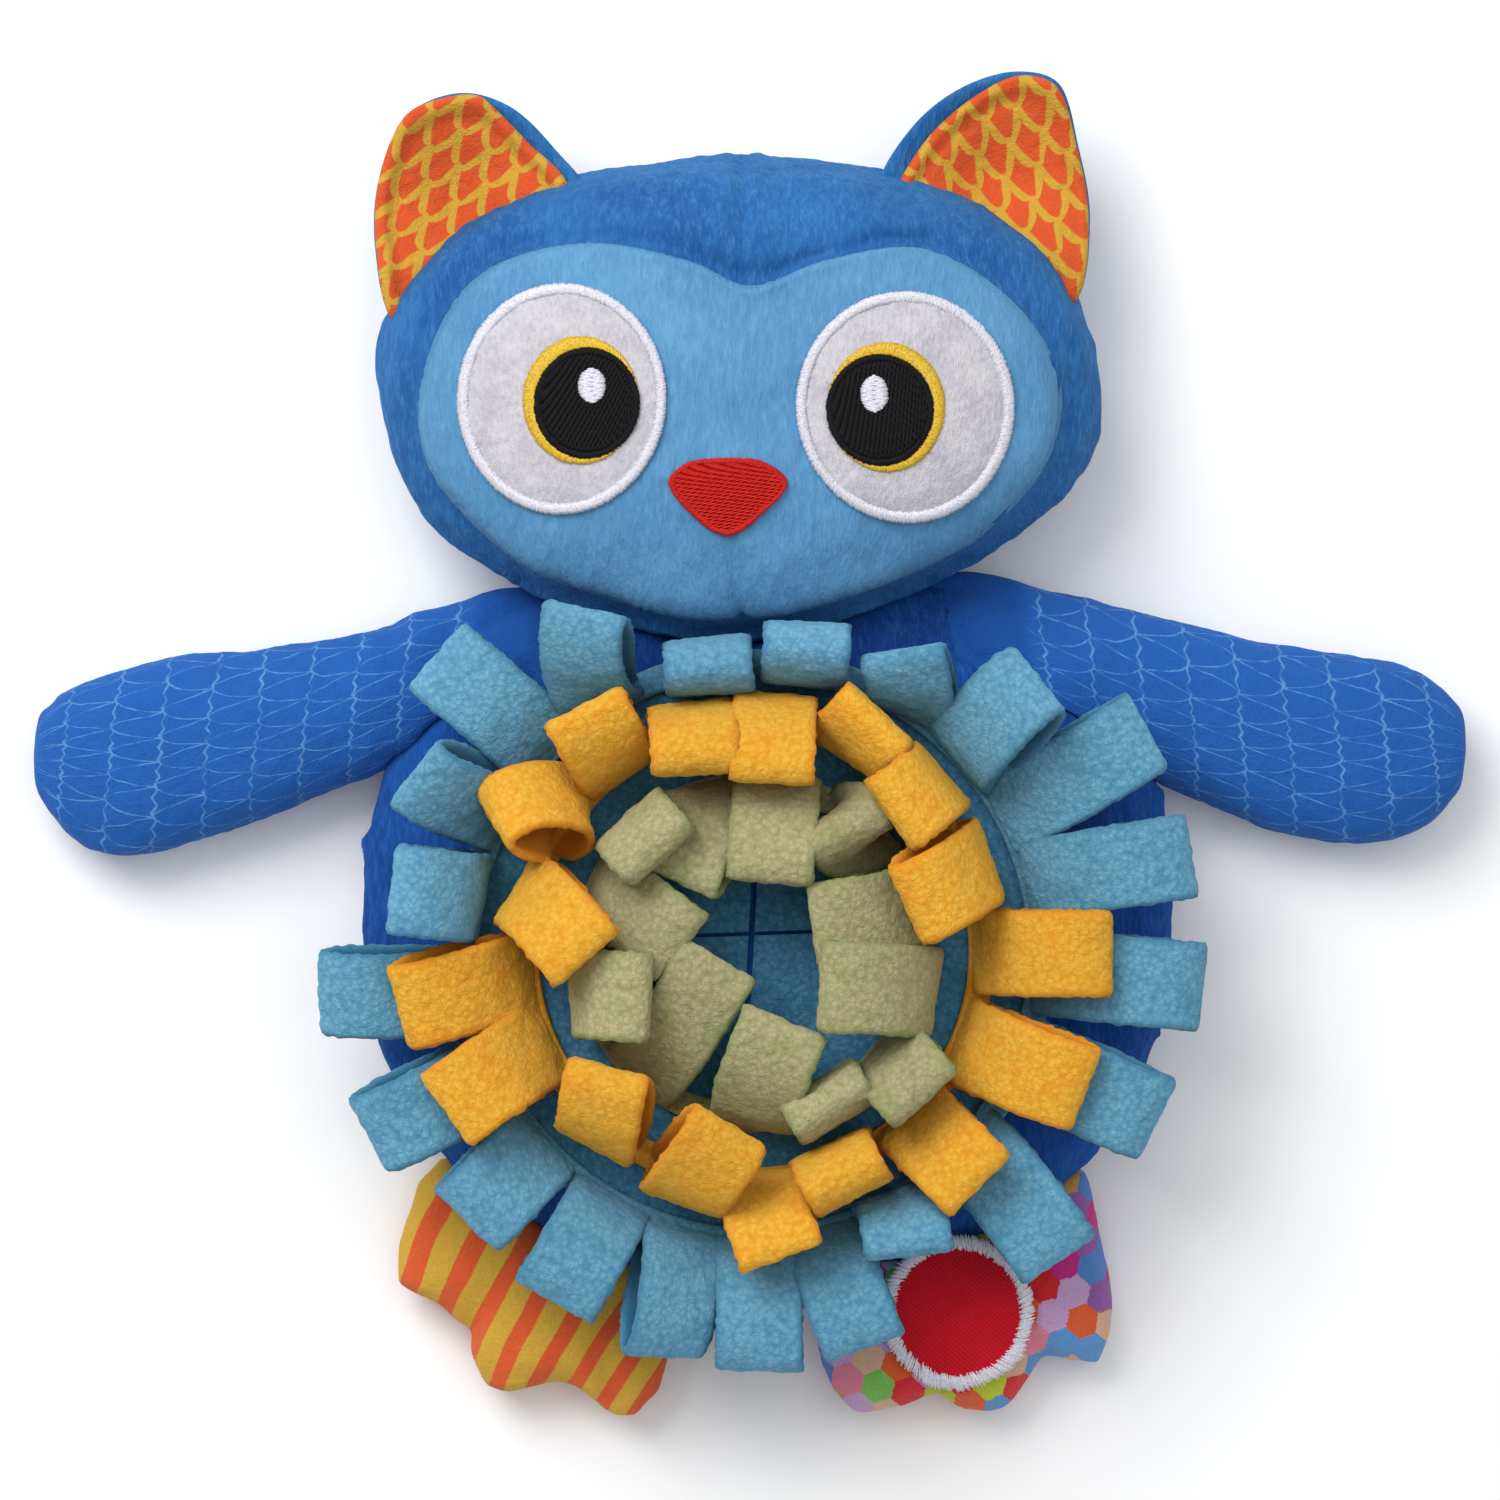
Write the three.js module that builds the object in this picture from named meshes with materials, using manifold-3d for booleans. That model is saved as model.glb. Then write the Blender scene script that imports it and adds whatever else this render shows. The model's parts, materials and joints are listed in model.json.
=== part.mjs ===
// A plush snuffle toy shaped like an owl, lying on its back.
// X runs to the right of the toy as it is seen, Y to the top of its head and Z up out of its face.
// Sizes are in millimetres and angles in degrees. The floor under the toy is z = 0.

import * as THREE from 'three';
import { mergeVertices } from 'three/addons/utils/BufferGeometryUtils.js';
import Module from 'manifold-3d';

const wasm = await Module();
wasm.setup();

// Cloth
const gap = 0.3; // between pieces that touch on the real toy
const sheetThick = 2; // plush and fleece
const appliqueThick = 1.2;
const stitchThick = 0.8; // raised embroidery
const restGap = 0.5; // between a curved sheet and the pad under it
const smoothing = 0.05; // smaller steps than this are left out of joined solids

// Body pad
const bodyCentre = { x: 3.7, y: -36 };
const bodyHalfWide = 85;
const bodyHalfLong = 74;
const squareTop = 2.5; // how boxy the pad's outline is, where 2 is an ellipse
const squareBottom = 2.3;
const bodySeam = 14; // height of the seam over the floor
const bodyCrown = 14; // from the seam to the front
const bodyBelly = 15; // from the seam to the back, before it flattens on the floor

// Head
const headCentre = { x: -2, y: 72 };
const headSeam = 24;
const headCrown = 32;
const headBack = 26;
const recessDeep = 2; // the face panel lies in the crown's opening
const crownEdge = 3; // least width of crown plush beside the face panel
const headCorners = 40;

// Ears: heights over the head's seam
const earOver = 2;
const earRise = 4; // from the root to the tip
const earDip = 5; // hollow between the root and the tip
const earCup = 12; // how much the sides curl up

// Arms and feet
const armMiddle = 13;
const armBoxy = 0.85; // 1 is a round section, less is boxier
const footSeam = 9;
const footCrown = 11;
const footBack = 10;

// Fleece loops
const ringCentre = { x: 1, y: -42 };
const baseRadius = 62;
const slitHalfLong = 24;
const slitWide = 1.2;
const slitDeep = 40; // of the cutter
const slitCross = { x: 0.5, y: -38.5, turnAcross: 2, turnAlong: -3 };
const bandWide = 5.4;
const bandThick = 2.4;
const bandGap = 0.5; // between a band and the sheet under it
const loopWide = 17;
const loopSteps = 10;
const spineSteps = 24;
const rootHigh = 1.3; // a loop's root over the underside of its band
const legApart = 1.2; // half the distance between the middles of a loop's legs at its root
const rings = {
  inner: { radius: 34.5, colour: 0xafb987 },
  middle: { radius: 47, colour: 0xf5af37 },
  outer: { radius: 59, colour: 0x5a9bc3 },
};

// Each row is one loop of a ring. at: its place round the ring. turn: how far it turns about the
// upright from its root to its tip. rise and fall: its slope at the root and at the tip, where 0 is
// flat outwards, 90 upright and 180 flat inwards. long: root to tip. open: half its opening.
// roll: how far it rolls about its own length towards the tip.
const columns = ['at', 'turn', 'rise', 'fall', 'long', 'open', 'roll'];
const outerLoops = [
  [136, 4, 50, -10, 32.5, 3, 0],
  [121.5, -30, 62, 42, 31, 4, -20],
  [99, -6, 88, 96, 28.5, 5, 0],
  [80, 6, 86, 74, 29, 5.2, 0],
  [57.5, 54, 80, 52, 28, 3, -15],
  [43, 6, 74, 22, 32, 4.5, -25],
  [29, 2, 45, -10, 35.5, 2.5, 10],
  [14, -6, 45, -10, 35, 4.6, 0],
  [-4, -2, 44, -10, 35, 4.8, 0],
  [-22, -2, 50, -10, 33, 3, 10],
  [-42, -13, 45, -12, 32, 3, 0],
  [-60, -22, 85, 56, 24, 4, 0],
  [-75.5, 7, 60, 0, 28.5, 3.5, 0],
  [-89, -1, 55, -10, 28.5, 5.2, 0],
  [-104, 5, 58, -8, 28.5, 4, -25],
  [-120, 0, 66, -8, 27, 3, 0],
  [-138, 4, 68, 2, 26, 3.2, -10],
  [-155, 1, 55, -10, 31.5, 4, -15],
  [-173, -8, 45, -10, 32, 4, -15],
  [169, 4, 86, 40, 31, 5.8, 0],
  [151, 6, 60, 36, 27.5, 4, -25],
];
const middleLoops = [
  [105, -12, 82, 122, 32, 6, 0],
  [85, 2, 76, 145, 34, 6, 0],
  [64.5, -18, 87, 66, 28, 4.2, 0],
  [44, -8, 74, 130, 32.5, 5.5, 0],
  [22, 10, 75, 158, 35, 5.5, -15],
  [0, 0, 65, 5, 32, 5, 0],
  [-23, 3, 65, 5, 32.5, 3, 10],
  [-46, 2, 76, 26, 29, 2.8, 0],
  [-68, 6, 90, 84, 28, 5.5, 0],
  [-88, 18, 80, 38, 28, 3.6, 0],
  [-106, -22, 68, 162, 35, 5, 15],
  [-131, 38, 80, 145, 33, 5.5, -15],
  [-156, 12, 70, 15, 32, 3, 0],
  [-174, 10, 62, 5, 32, 3.5, -15],
  [166, -36, 84, 152, 37, 4.6, 0],
  [143.5, 46, 90, 22, 27.5, 6, 45],
  [126, -8, 84, 42, 30, 4.6, 0],
];
const innerLoops = [
  [133, 0, 92, 108, 28, 4.6, 0],
  [107, -46, 112, 160, 27, 4, 15],
  [82, 4, 98, 160, 31, 4.8, 0],
  [49, -88, 114, 86, 24, 4, -25],
  [16, -8, 102, 170, 31, 3.6, 0],
  [-13, 10, 86, 164, 37, 6.4, 0],
  [-38, -10, 85, 56, 29, 4.8, 0],
  [-63, 5, 94, 90, 26, 4.4, 0],
  [-90, -22, 104, 155, 35, 5, 0],
  [-132, 12, 118, 172, 37, 3.5, 0],
  [-166, -18, 88, 135, 31, 5.6, 0],
  [158, -16, 108, 162, 30, 3.6, 0],
];

// The strips of each ring, from one angle to another
const outerStrips = { right: [-32, 68], top: [68, 160], left: [160, 231], bottom: [231, 328] };
const middleStrips = { upper: [11, 216], lower: [216, 371] };
const innerStrips = { upper: [32, 249], lower: [249, 392] };

// Outlines seen from the front, as corners of a smooth closed curve
const headOutline = [
  [-2, 123.8], [-30, 120.3], [-46, 116], [-66, 103.5], [-77, 88], [-76.8, 68], [-69, 48.5],
  [-52, 34.8], [-34, 27.6], [-14, 21.9], [4, 22], [24, 27.2], [42, 35], [60, 46], [70.5, 56.5],
  [73.3, 74], [69, 94], [56, 108], [40, 116.6], [20, 121.6],
];
const faceOutline = [
  [0, 94.8], [-12, 100], [-35, 104.2], [-57, 97.4], [-68, 78], [-68.5, 60], [-57, 44],
  [-40, 31.5], [-14, 21.9], [4, 22], [28, 29.5], [48, 41.5], [62.5, 58], [65.5, 76], [54, 93.3],
  [36, 103.2], [16, 100.3],
];
const earLeftOutline = [
  [-73, 88], [-77.5, 103], [-77, 118], [-70.5, 131.5], [-60, 135.8], [-49.5, 133], [-40, 124],
  [-34, 115], [-46, 104], [-60, 94],
];
const earRightOutline = [
  [27, 115], [33.5, 128.5], [44, 137], [56, 140.3], [64, 138], [68.5, 125], [70.8, 110],
  [67, 92], [54, 98], [40, 108],
];
const footLeftOutline = [
  [-67, -89], [-72.5, -102], [-73, -113.5], [-62.5, -118.5], [-58.5, -128], [-52, -135.6],
  [-39.5, -132.4], [-29, -140.2], [-19.5, -134], [-16, -121], [-20, -100], [-44, -86],
];
const footRightOutline = [
  [67, -86], [73, -101], [76.5, -119], [73.5, -129], [61, -129.5], [53.5, -139.2],
  [34.5, -135.9], [25.5, -140.8], [17.5, -132.5], [13.5, -117], [18, -98], [44, -86],
];
const eyeLeft = { x: -37.8, y: 71.2, halfWide: 20.6, halfHigh: 22.5 };
const eyeRight = { x: 31.5, y: 69.6, halfWide: 21.5, halfHigh: 22.5 };
const pupilLeft = { x: -32.6, y: 70.1, halfWide: 10.6, halfHigh: 11.1 };
const pupilRight = { x: 26.3, y: 68.8, halfWide: 10.8, halfHigh: 11.1 };
const beakOutline = [
  [-4.8, 58.6], [-12.3, 57.9], [-15.9, 54.4], [-11.8, 48.6], [-4.4, 44], [2.9, 48.6],
  [7.4, 54], [2.9, 57.9],
];
const patchPlace = { x: 43.5, y: -117.5, halfWide: 15.5, halfHigh: 15.5 };

// Sections of the arms, from the paw to the shoulder. x is the distance from the toy's middle.
const armColumns = ['x', 'middle', 'halfWide', 'halfThick'];
const armLeftSections = [
  [149, -0.5, 8, 6], [145, -1.8, 13.3, 9.5], [139, -2.6, 18, 12], [131, -2.6, 20, 13.5],
  [120, -0.3, 20.5, 14], [108, 1.8, 19, 14], [95, 5, 17.2, 14], [78, 10, 15.8, 14],
  [61, 17, 15, 13.5], [46, 19.5, 12.5, 11],
];
const armRightSections = [
  [149.3, 0, 8, 6], [145.5, 0, 13, 9.5], [139, -0.3, 18, 12], [131, -0.2, 19.9, 13.5],
  [120, 0.6, 20.6, 14], [108, 3, 19.8, 14], [95, 7.2, 18.6, 14], [78, 12.3, 17.8, 14],
  [60, 18.5, 16, 13], [46, 23, 12, 10],
];

// Turns a table into objects with named values
function named(columnNames, rows) {
  return rows.map((row) => Object.fromEntries(columnNames.map((name, i) => [name, row[i]])));
}

// The points of an ellipse that serves as an outline
function oval({ x, y, halfWide, halfHigh }, count = 12) {
  return Array.from({ length: count }, (_, i) => {
    const angle = (2 * Math.PI * i) / count;
    return [x + halfWide * Math.cos(angle), y + halfHigh * Math.sin(angle)];
  });
}

// The middle of an outline
function middleOf(outline) {
  const xs = outline.map(([x]) => x);
  const ys = outline.map(([, y]) => y);
  return {
    x: (Math.min(...xs) + Math.max(...xs)) / 2,
    y: (Math.min(...ys) + Math.max(...ys)) / 2,
  };
}

// How far a smooth outline reaches from a centre, as a function of the direction
function reachOf(outline, centre) {
  const corners = outline.map(([x, y]) => new THREE.Vector3(x, y, 0));
  const curve = new THREE.CatmullRomCurve3(corners, true, 'centripetal');
  const around = curve.getPoints(240).map((point) => {
    const dx = point.x - centre.x;
    const dy = point.y - centre.y;
    return { angle: Math.atan2(dy, dx), reach: Math.hypot(dx, dy) };
  });
  around.pop();
  around.sort((a, b) => a.angle - b.angle);
  return (angle) => {
    const turned = Math.atan2(Math.sin(angle), Math.cos(angle));
    let next = around.findIndex((entry) => entry.angle > turned);
    if (next < 0) next = 0;
    const before = around[(next + around.length - 1) % around.length];
    const after = around[next];
    let span = after.angle - before.angle;
    let part = turned - before.angle;
    if (span <= 0) span += 2 * Math.PI;
    if (part < 0) part += 2 * Math.PI;
    return before.reach + ((after.reach - before.reach) * part) / span;
  };
}

// A closed surface over a row of rings of points. A ring of one point closes the surface there,
// and a row that wraps joins its last ring to its first.
function skin(ringRow, wraps = false) {
  const positions = [];
  const starts = ringRow.map((ring) => {
    const start = positions.length / 3;
    ring.forEach((point) => positions.push(point.x, point.y, point.z));
    return start;
  });
  const faces = [];
  const last = wraps ? ringRow.length : ringRow.length - 1;
  for (let k = 0; k < last; k += 1) {
    const next = (k + 1) % ringRow.length;
    const count = Math.max(ringRow[k].length, ringRow[next].length);
    for (let i = 0; i < count; i += 1) {
      const j = (i + 1) % count;
      const a = starts[k] + (ringRow[k].length > 1 ? i : 0);
      const b = starts[next] + (ringRow[next].length > 1 ? i : 0);
      const c = starts[next] + (ringRow[next].length > 1 ? j : 0);
      const d = starts[k] + (ringRow[k].length > 1 ? j : 0);
      if (b !== c) faces.push(a, b, c);
      if (a !== d) faces.push(a, c, d);
    }
  }
  const geometry = new THREE.BufferGeometry();
  geometry.setAttribute('position', new THREE.Float32BufferAttribute(positions, 3));
  geometry.setIndex(faces);
  return geometry;
}

// The share of the full height at a share of the way out, for a rounded edge
function rounded(share, fullness) {
  return Math.sqrt(Math.max(0, 1 - share ** fullness));
}

// A stuffed pad: its front surface, and its solid with every side moved out by grow
function stuffed({ centre, reach, seam, front, back, fullness, corners, rows }) {
  const frontAt = (x, y, grow = 0) => {
    const dx = x - centre.x;
    const dy = y - centre.y;
    const share = Math.hypot(dx, dy) / (reach(Math.atan2(dy, dx)) + grow);
    return seam + (front + grow) * rounded(Math.min(share, 1), fullness);
  };
  // A point lifted off the front along the surface's own normal
  const onFront = (x, y, lift) => {
    const step = 0.5;
    const slopeX = (frontAt(x + step, y) - frontAt(x - step, y)) / (2 * step);
    const slopeY = (frontAt(x, y + step) - frontAt(x, y - step)) / (2 * step);
    const normal = new THREE.Vector3(-slopeX, -slopeY, 1).normalize();
    return new THREE.Vector3(x, y, frontAt(x, y)).addScaledVector(normal, lift);
  };
  const ringAt = (share, height, grow) =>
    Array.from({ length: corners }, (_, i) => {
      const angle = (2 * Math.PI * i) / corners;
      const far = share * (reach(angle) + grow);
      return new THREE.Vector3(
        centre.x + far * Math.cos(angle),
        centre.y + far * Math.sin(angle),
        Math.max(height, -grow),
      );
    });
  const solid = (grow = 0) => {
    const ringRow = [[new THREE.Vector3(centre.x, centre.y, seam + front + grow)]];
    for (let k = 1; k <= rows; k += 1) {
      const share = Math.sin((Math.PI * k) / (2 * rows)) ** (2 / fullness);
      ringRow.push(ringAt(share, seam + (front + grow) * rounded(share, fullness), grow));
    }
    for (let k = rows - 1; k >= 1; k -= 1) {
      const share = Math.sin((Math.PI * k) / (2 * rows)) ** (2 / fullness);
      ringRow.push(ringAt(share, seam - (back + grow) * rounded(share, fullness), grow));
    }
    ringRow.push([new THREE.Vector3(centre.x, centre.y, -grow)]);
    return skin(ringRow);
  };
  return { centre, reach, frontAt, onFront, solid };
}

// A sheet that follows a surface between two distances from it
function layer({ outline, surface, from, to, corners, shares = [0, 0.5, 1] }) {
  const centre = middleOf(outline);
  const reach = reachOf(outline, centre);
  const ringAt = (share, lift) =>
    Array.from({ length: share > 0 ? corners : 1 }, (_, i) => {
      const angle = (2 * Math.PI * i) / corners;
      const far = share * reach(angle);
      return surface(centre.x + far * Math.cos(angle), centre.y + far * Math.sin(angle), lift);
    });
  const over = shares.map((share) => ringAt(share, to));
  const under = shares.map((share) => ringAt(share, from)).reverse();
  return skin([...over, ...under]);
}

// Joining and cutting
function toSolid(geometry) {
  const bare = geometry.clone();
  bare.deleteAttribute('normal');
  bare.deleteAttribute('uv');
  const merged = mergeVertices(bare, 1e-4);
  return new wasm.Manifold(new wasm.Mesh({
    numProp: 3,
    vertProperties: new Float32Array(merged.attributes.position.array),
    triVerts: new Uint32Array(merged.index.array),
  }));
}

function toGeometry(solid) {
  const mesh = solid.getMesh();
  const geometry = new THREE.BufferGeometry();
  geometry.setAttribute('position', new THREE.Float32BufferAttribute(mesh.vertProperties, 3));
  geometry.setIndex(Array.from(mesh.triVerts));
  return geometry;
}

function cutBy(geometry, ...cutters) {
  const left = cutters.reduce((solid, cutter) => solid.subtract(toSolid(cutter)), toSolid(geometry));
  return toGeometry(left);
}

const toy = new THREE.Group();

function add(name, geometry, colour, roughness = 0.95) {
  geometry.computeVertexNormals();
  const material = new THREE.MeshStandardMaterial({ color: colour, roughness, metalness: 0 });
  const mesh = new THREE.Mesh(geometry, material);
  mesh.name = name;
  toy.add(mesh);
}

// Body pad
const bodyReach = (angle) => {
  const square = Math.sin(angle) > 0 ? squareTop : squareBottom;
  const across = Math.abs(Math.cos(angle) / bodyHalfWide) ** square;
  const along = Math.abs(Math.sin(angle) / bodyHalfLong) ** square;
  return (across + along) ** (-1 / square);
};
const body = stuffed({
  centre: bodyCentre,
  reach: bodyReach,
  seam: bodySeam,
  front: bodyCrown,
  back: bodyBelly,
  fullness: 4,
  corners: 40,
  rows: 5,
});

// Head
const headReach = reachOf(headOutline, headCentre);
const head = stuffed({
  centre: headCentre,
  reach: headReach,
  seam: headSeam,
  front: headCrown,
  back: headBack,
  fullness: 3,
  corners: headCorners,
  rows: 5,
});

// The face panel ends a little inside the head's seam
const faceReach = (() => {
  const drawn = reachOf(faceOutline, headCentre);
  return (angle) => Math.min(drawn(angle), headReach(angle) - crownEdge);
})();

// A ring of points over the head's front, at a distance from the centre for each direction
function headRing(far, lift, corners = headCorners) {
  return Array.from({ length: corners }, (_, i) => {
    const angle = (2 * Math.PI * i) / corners;
    const out = far(angle);
    return head.onFront(
      headCentre.x + out * Math.cos(angle),
      headCentre.y + out * Math.sin(angle),
      lift,
    );
  });
}

const faceShares = [0.3, 0.55, 0.75, 0.9, 1];

// The head with the recess that the face panel lies in
function headSolid() {
  const middle = head.onFront(headCentre.x, headCentre.y, -recessDeep);
  const inRecess = faceShares.map((share) =>
    headRing((angle) => share * faceReach(angle), -recessDeep));
  const crown = [0, 0.35, 0.75].map((share) =>
    headRing((angle) => {
      const edge = faceReach(angle) + gap;
      return edge + share * (headReach(angle) - edge);
    }, 0));
  const seam = Array.from({ length: headCorners }, (_, i) => {
    const angle = (2 * Math.PI * i) / headCorners;
    return new THREE.Vector3(
      headCentre.x + headReach(angle) * Math.cos(angle),
      headCentre.y + headReach(angle) * Math.sin(angle),
      headSeam,
    );
  });
  const backRings = [0.97, 0.86, 0.6].map((share) =>
    seam.map((point) => new THREE.Vector3(
      headCentre.x + share * (point.x - headCentre.x),
      headCentre.y + share * (point.y - headCentre.y),
      Math.max(0, headSeam - headBack * rounded(share, 3)),
    )));
  const under = new THREE.Vector3(headCentre.x, headCentre.y, 0);
  return skin([[middle], ...inRecess, ...crown, seam, ...backRings, [under]]);
}

function facePanel() {
  const top = recessDeep - sheetThick + gap;
  const bottom = top - sheetThick;
  const centreTop = head.onFront(headCentre.x, headCentre.y, top);
  const centreBottom = head.onFront(headCentre.x, headCentre.y, bottom);
  const shrink = (share) => (angle) => share * (faceReach(angle) - gap);
  const over = faceShares.map((share) => headRing(shrink(share), top));
  const below = faceShares.map((share) => headRing(shrink(share), bottom)).reverse();
  return skin([[centreTop], ...over, ...below, [centreBottom]]);
}

const facePieceLift = recessDeep - sheetThick + 3 * gap;
const pupilLift = facePieceLift + appliqueThick + 2 * gap;

function onFace(outline, from, thick, corners = 24) {
  const surface = head.onFront;
  return layer({ outline, surface, from, to: from + thick, corners });
}

// Ears: two cloth layers, cupped towards the front, sewn in along the head's seam
function earSurface(root, tip) {
  const along = new THREE.Vector2(tip.x - root.x, tip.y - root.y);
  const long = along.length();
  along.normalize();
  return (x, y, lift) => {
    const out = ((x - root.x) * along.x + (y - root.y) * along.y) / long;
    const side = ((x - root.x) * -along.y + (y - root.y) * along.x) / long;
    const dip = earDip * Math.sin(Math.PI * THREE.MathUtils.clamp(out, 0, 1));
    const height = headSeam + earOver + earRise * out + earCup * side * side - dip;
    return new THREE.Vector3(x, y, height + lift);
  };
}

function ear(side, outline, root, tip) {
  const surface = earSurface(root, tip);
  const common = { outline, surface, corners: 26, shares: [0, 0.4, 0.75, 1] };
  const back = layer({ from: -sheetThick, to: 0, ...common });
  const front = layer({ from: 3 * gap, to: 3 * gap + sheetThick, ...common });
  add(`ear_${side}_back`, cutBy(back, head.solid(gap)), 0x2d69b4);
  add(`ear_${side}_front`, cutBy(front, head.solid(gap)), 0xdc9646);
}

// Arms: sections from the paw to the shoulder
function arm(table, side) {
  const corners = 16;
  const sections = named(armColumns, table).map(({ x, middle, halfWide, halfThick }) =>
    Array.from({ length: corners }, (_, i) => {
      const angle = (2 * Math.PI * i) / corners;
      const across = Math.sign(Math.cos(angle)) * Math.abs(Math.cos(angle)) ** armBoxy;
      const up = Math.sign(Math.sin(angle)) * Math.abs(Math.sin(angle)) ** armBoxy;
      const height = Math.max(0, armMiddle + halfThick * up);
      return new THREE.Vector3(side * x, middle + side * halfWide * across, height);
    }));
  const paw = table[0];
  const shoulder = table[table.length - 1];
  const pawTip = new THREE.Vector3(side * (paw[0] + 1), paw[1], armMiddle);
  const shoulderTip = new THREE.Vector3(side * (shoulder[0] - 4), shoulder[1] + 2, armMiddle);
  const whole = skin([[pawTip], ...sections, [shoulderTip]]);
  return cutBy(whole, body.solid(gap), head.solid(gap));
}

function foot(outline) {
  const centre = middleOf(outline);
  return stuffed({
    centre,
    reach: reachOf(outline, centre),
    seam: footSeam,
    front: footCrown,
    back: footBack,
    fullness: 4,
    corners: 36,
    rows: 4,
  });
}

// The fleece sheet with its cross slit
function snuffleBase() {
  const outline = oval({ ...ringCentre, halfWide: baseRadius, halfHigh: baseRadius }, 16);
  const sheet = layer({
    outline,
    surface: body.onFront,
    from: restGap,
    to: restGap + sheetThick,
    corners: 36,
    shares: [0, 0.5, 0.75, 0.9, 1],
  });
  const across = new THREE.BoxGeometry(2 * slitHalfLong, slitWide, slitDeep);
  across.rotateZ(THREE.MathUtils.degToRad(slitCross.turnAcross));
  const along = new THREE.BoxGeometry(slitWide, 2 * slitHalfLong, slitDeep);
  along.rotateZ(THREE.MathUtils.degToRad(slitCross.turnAlong));
  const cutters = [across, along];
  cutters.forEach((cutter) => cutter.translate(slitCross.x, slitCross.y, bodySeam + bodyCrown));
  return cutBy(sheet, ...cutters);
}

// One loop: a strip of fleece that leaves the band, bends over and comes back
function loopStrip(ringRadius, { at, turn, rise, fall, long, open, roll }) {
  const rootX = ringCentre.x + ringRadius * Math.cos(THREE.MathUtils.degToRad(at));
  const rootY = ringCentre.y + ringRadius * Math.sin(THREE.MathUtils.degToRad(at));
  const root = body.onFront(rootX, rootY, restGap + sheetThick + bandGap + rootHigh);
  const spine = [root];
  const slopes = (share) => THREE.MathUtils.degToRad(rise + (fall - rise) * share);
  const turns = (share) => THREE.MathUtils.degToRad(at + turn * share * (2 - share));
  const ahead = (share) => new THREE.Vector3(
    Math.cos(slopes(share)) * Math.cos(turns(share)),
    Math.cos(slopes(share)) * Math.sin(turns(share)),
    Math.sin(slopes(share)),
  );
  for (let k = 0; k < spineSteps; k += 1) {
    spine.push(spine[k].clone().addScaledVector(ahead((k + 0.5) / spineSteps), long / spineSteps));
  }
  const spineAt = (share) => {
    const place = Math.min(share * spineSteps, spineSteps - 1e-6);
    const k = Math.floor(place);
    return spine[k].clone().lerp(spine[k + 1], place - k);
  };
  const acrossAt = (share) => {
    const flat = new THREE.Vector3(-Math.sin(turns(share)), Math.cos(turns(share)), 0);
    return flat.applyAxisAngle(ahead(share), THREE.MathUtils.degToRad(roll * share * (2 - share)));
  };
  const middleAt = (step) => {
    const share = (1 - Math.cos(2 * Math.PI * step)) / 2;
    const belly = open * Math.sin(2 * Math.PI * step) * Math.sin(Math.PI * step) ** 0.8;
    const apart = legApart * Math.cos(Math.PI * step) + belly;
    const outwards = new THREE.Vector3().crossVectors(acrossAt(share), ahead(share)).normalize();
    return { point: spineAt(share).addScaledVector(outwards, apart), across: acrossAt(share) };
  };
  const sections = [];
  for (let k = 0; k <= loopSteps; k += 1) {
    const step = k / loopSteps;
    const { point, across } = middleAt(step);
    const before = middleAt(Math.max(0, step - 0.01)).point;
    const after = middleAt(Math.min(1, step + 0.01)).point;
    const along = after.sub(before).normalize();
    const face = new THREE.Vector3().crossVectors(across, along).normalize();
    const side = across.clone().multiplyScalar(loopWide / 2);
    const lift = face.multiplyScalar(sheetThick / 2);
    sections.push([
      point.clone().add(side).add(lift),
      point.clone().sub(side).add(lift),
      point.clone().sub(side).sub(lift),
      point.clone().add(side).sub(lift),
    ]);
  }
  const centreOf = (ring) => ring.reduce((sum, p) => sum.add(p), new THREE.Vector3()).divideScalar(4);
  return skin([[centreOf(sections[0])], ...sections, [centreOf(sections[loopSteps])]]);
}

// The sewn band under a strip of loops, with a straight run under each loop. The strips of a ring
// meet end to end with a gap, midway between their last loops.
function band(ringRadius, loops, ring) {
  const places = ring.map(({ at }) => THREE.MathUtils.degToRad(at)).sort((a, b) => a - b);
  const low = restGap + sheetThick + bandGap;
  const high = low + bandThick;
  const joints = places.map((place, i) => {
    const next = i + 1 < places.length ? places[i + 1] : places[0] + 2 * Math.PI;
    return { after: place, angle: (place + next) / 2, stretch: 1 / Math.cos((next - place) / 2) };
  });
  const sectionAt = ({ angle, stretch }, along) =>
    [[1, low], [1, high], [-1, high], [-1, low]].map(([side, lift]) => {
      const far = stretch * (ringRadius + (side * bandWide) / 2);
      const x = ringCentre.x + far * Math.cos(angle) - along * Math.sin(angle);
      const y = ringCentre.y + far * Math.sin(angle) + along * Math.cos(angle);
      return body.onFront(x, y, lift);
    });
  const last = joints.length;
  const indexOf = (loop) =>
    joints.findIndex(({ after }) => Math.abs(after - THREE.MathUtils.degToRad(loop.at)) < 1e-6);
  const first = indexOf(loops[0]);
  const sections = [sectionAt(joints[(first + last - 1) % last], gap)];
  for (let k = 0; k < loops.length; k += 1) {
    const atEnd = k === loops.length - 1;
    sections.push(sectionAt(joints[(first + k) % last], atEnd ? -gap : 0));
  }
  const centreOf = (ring) => ring.reduce((sum, p) => sum.add(p), new THREE.Vector3()).divideScalar(4);
  return skin([[centreOf(sections[0])], ...sections, [centreOf(sections[sections.length - 1])]]);
}

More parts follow.
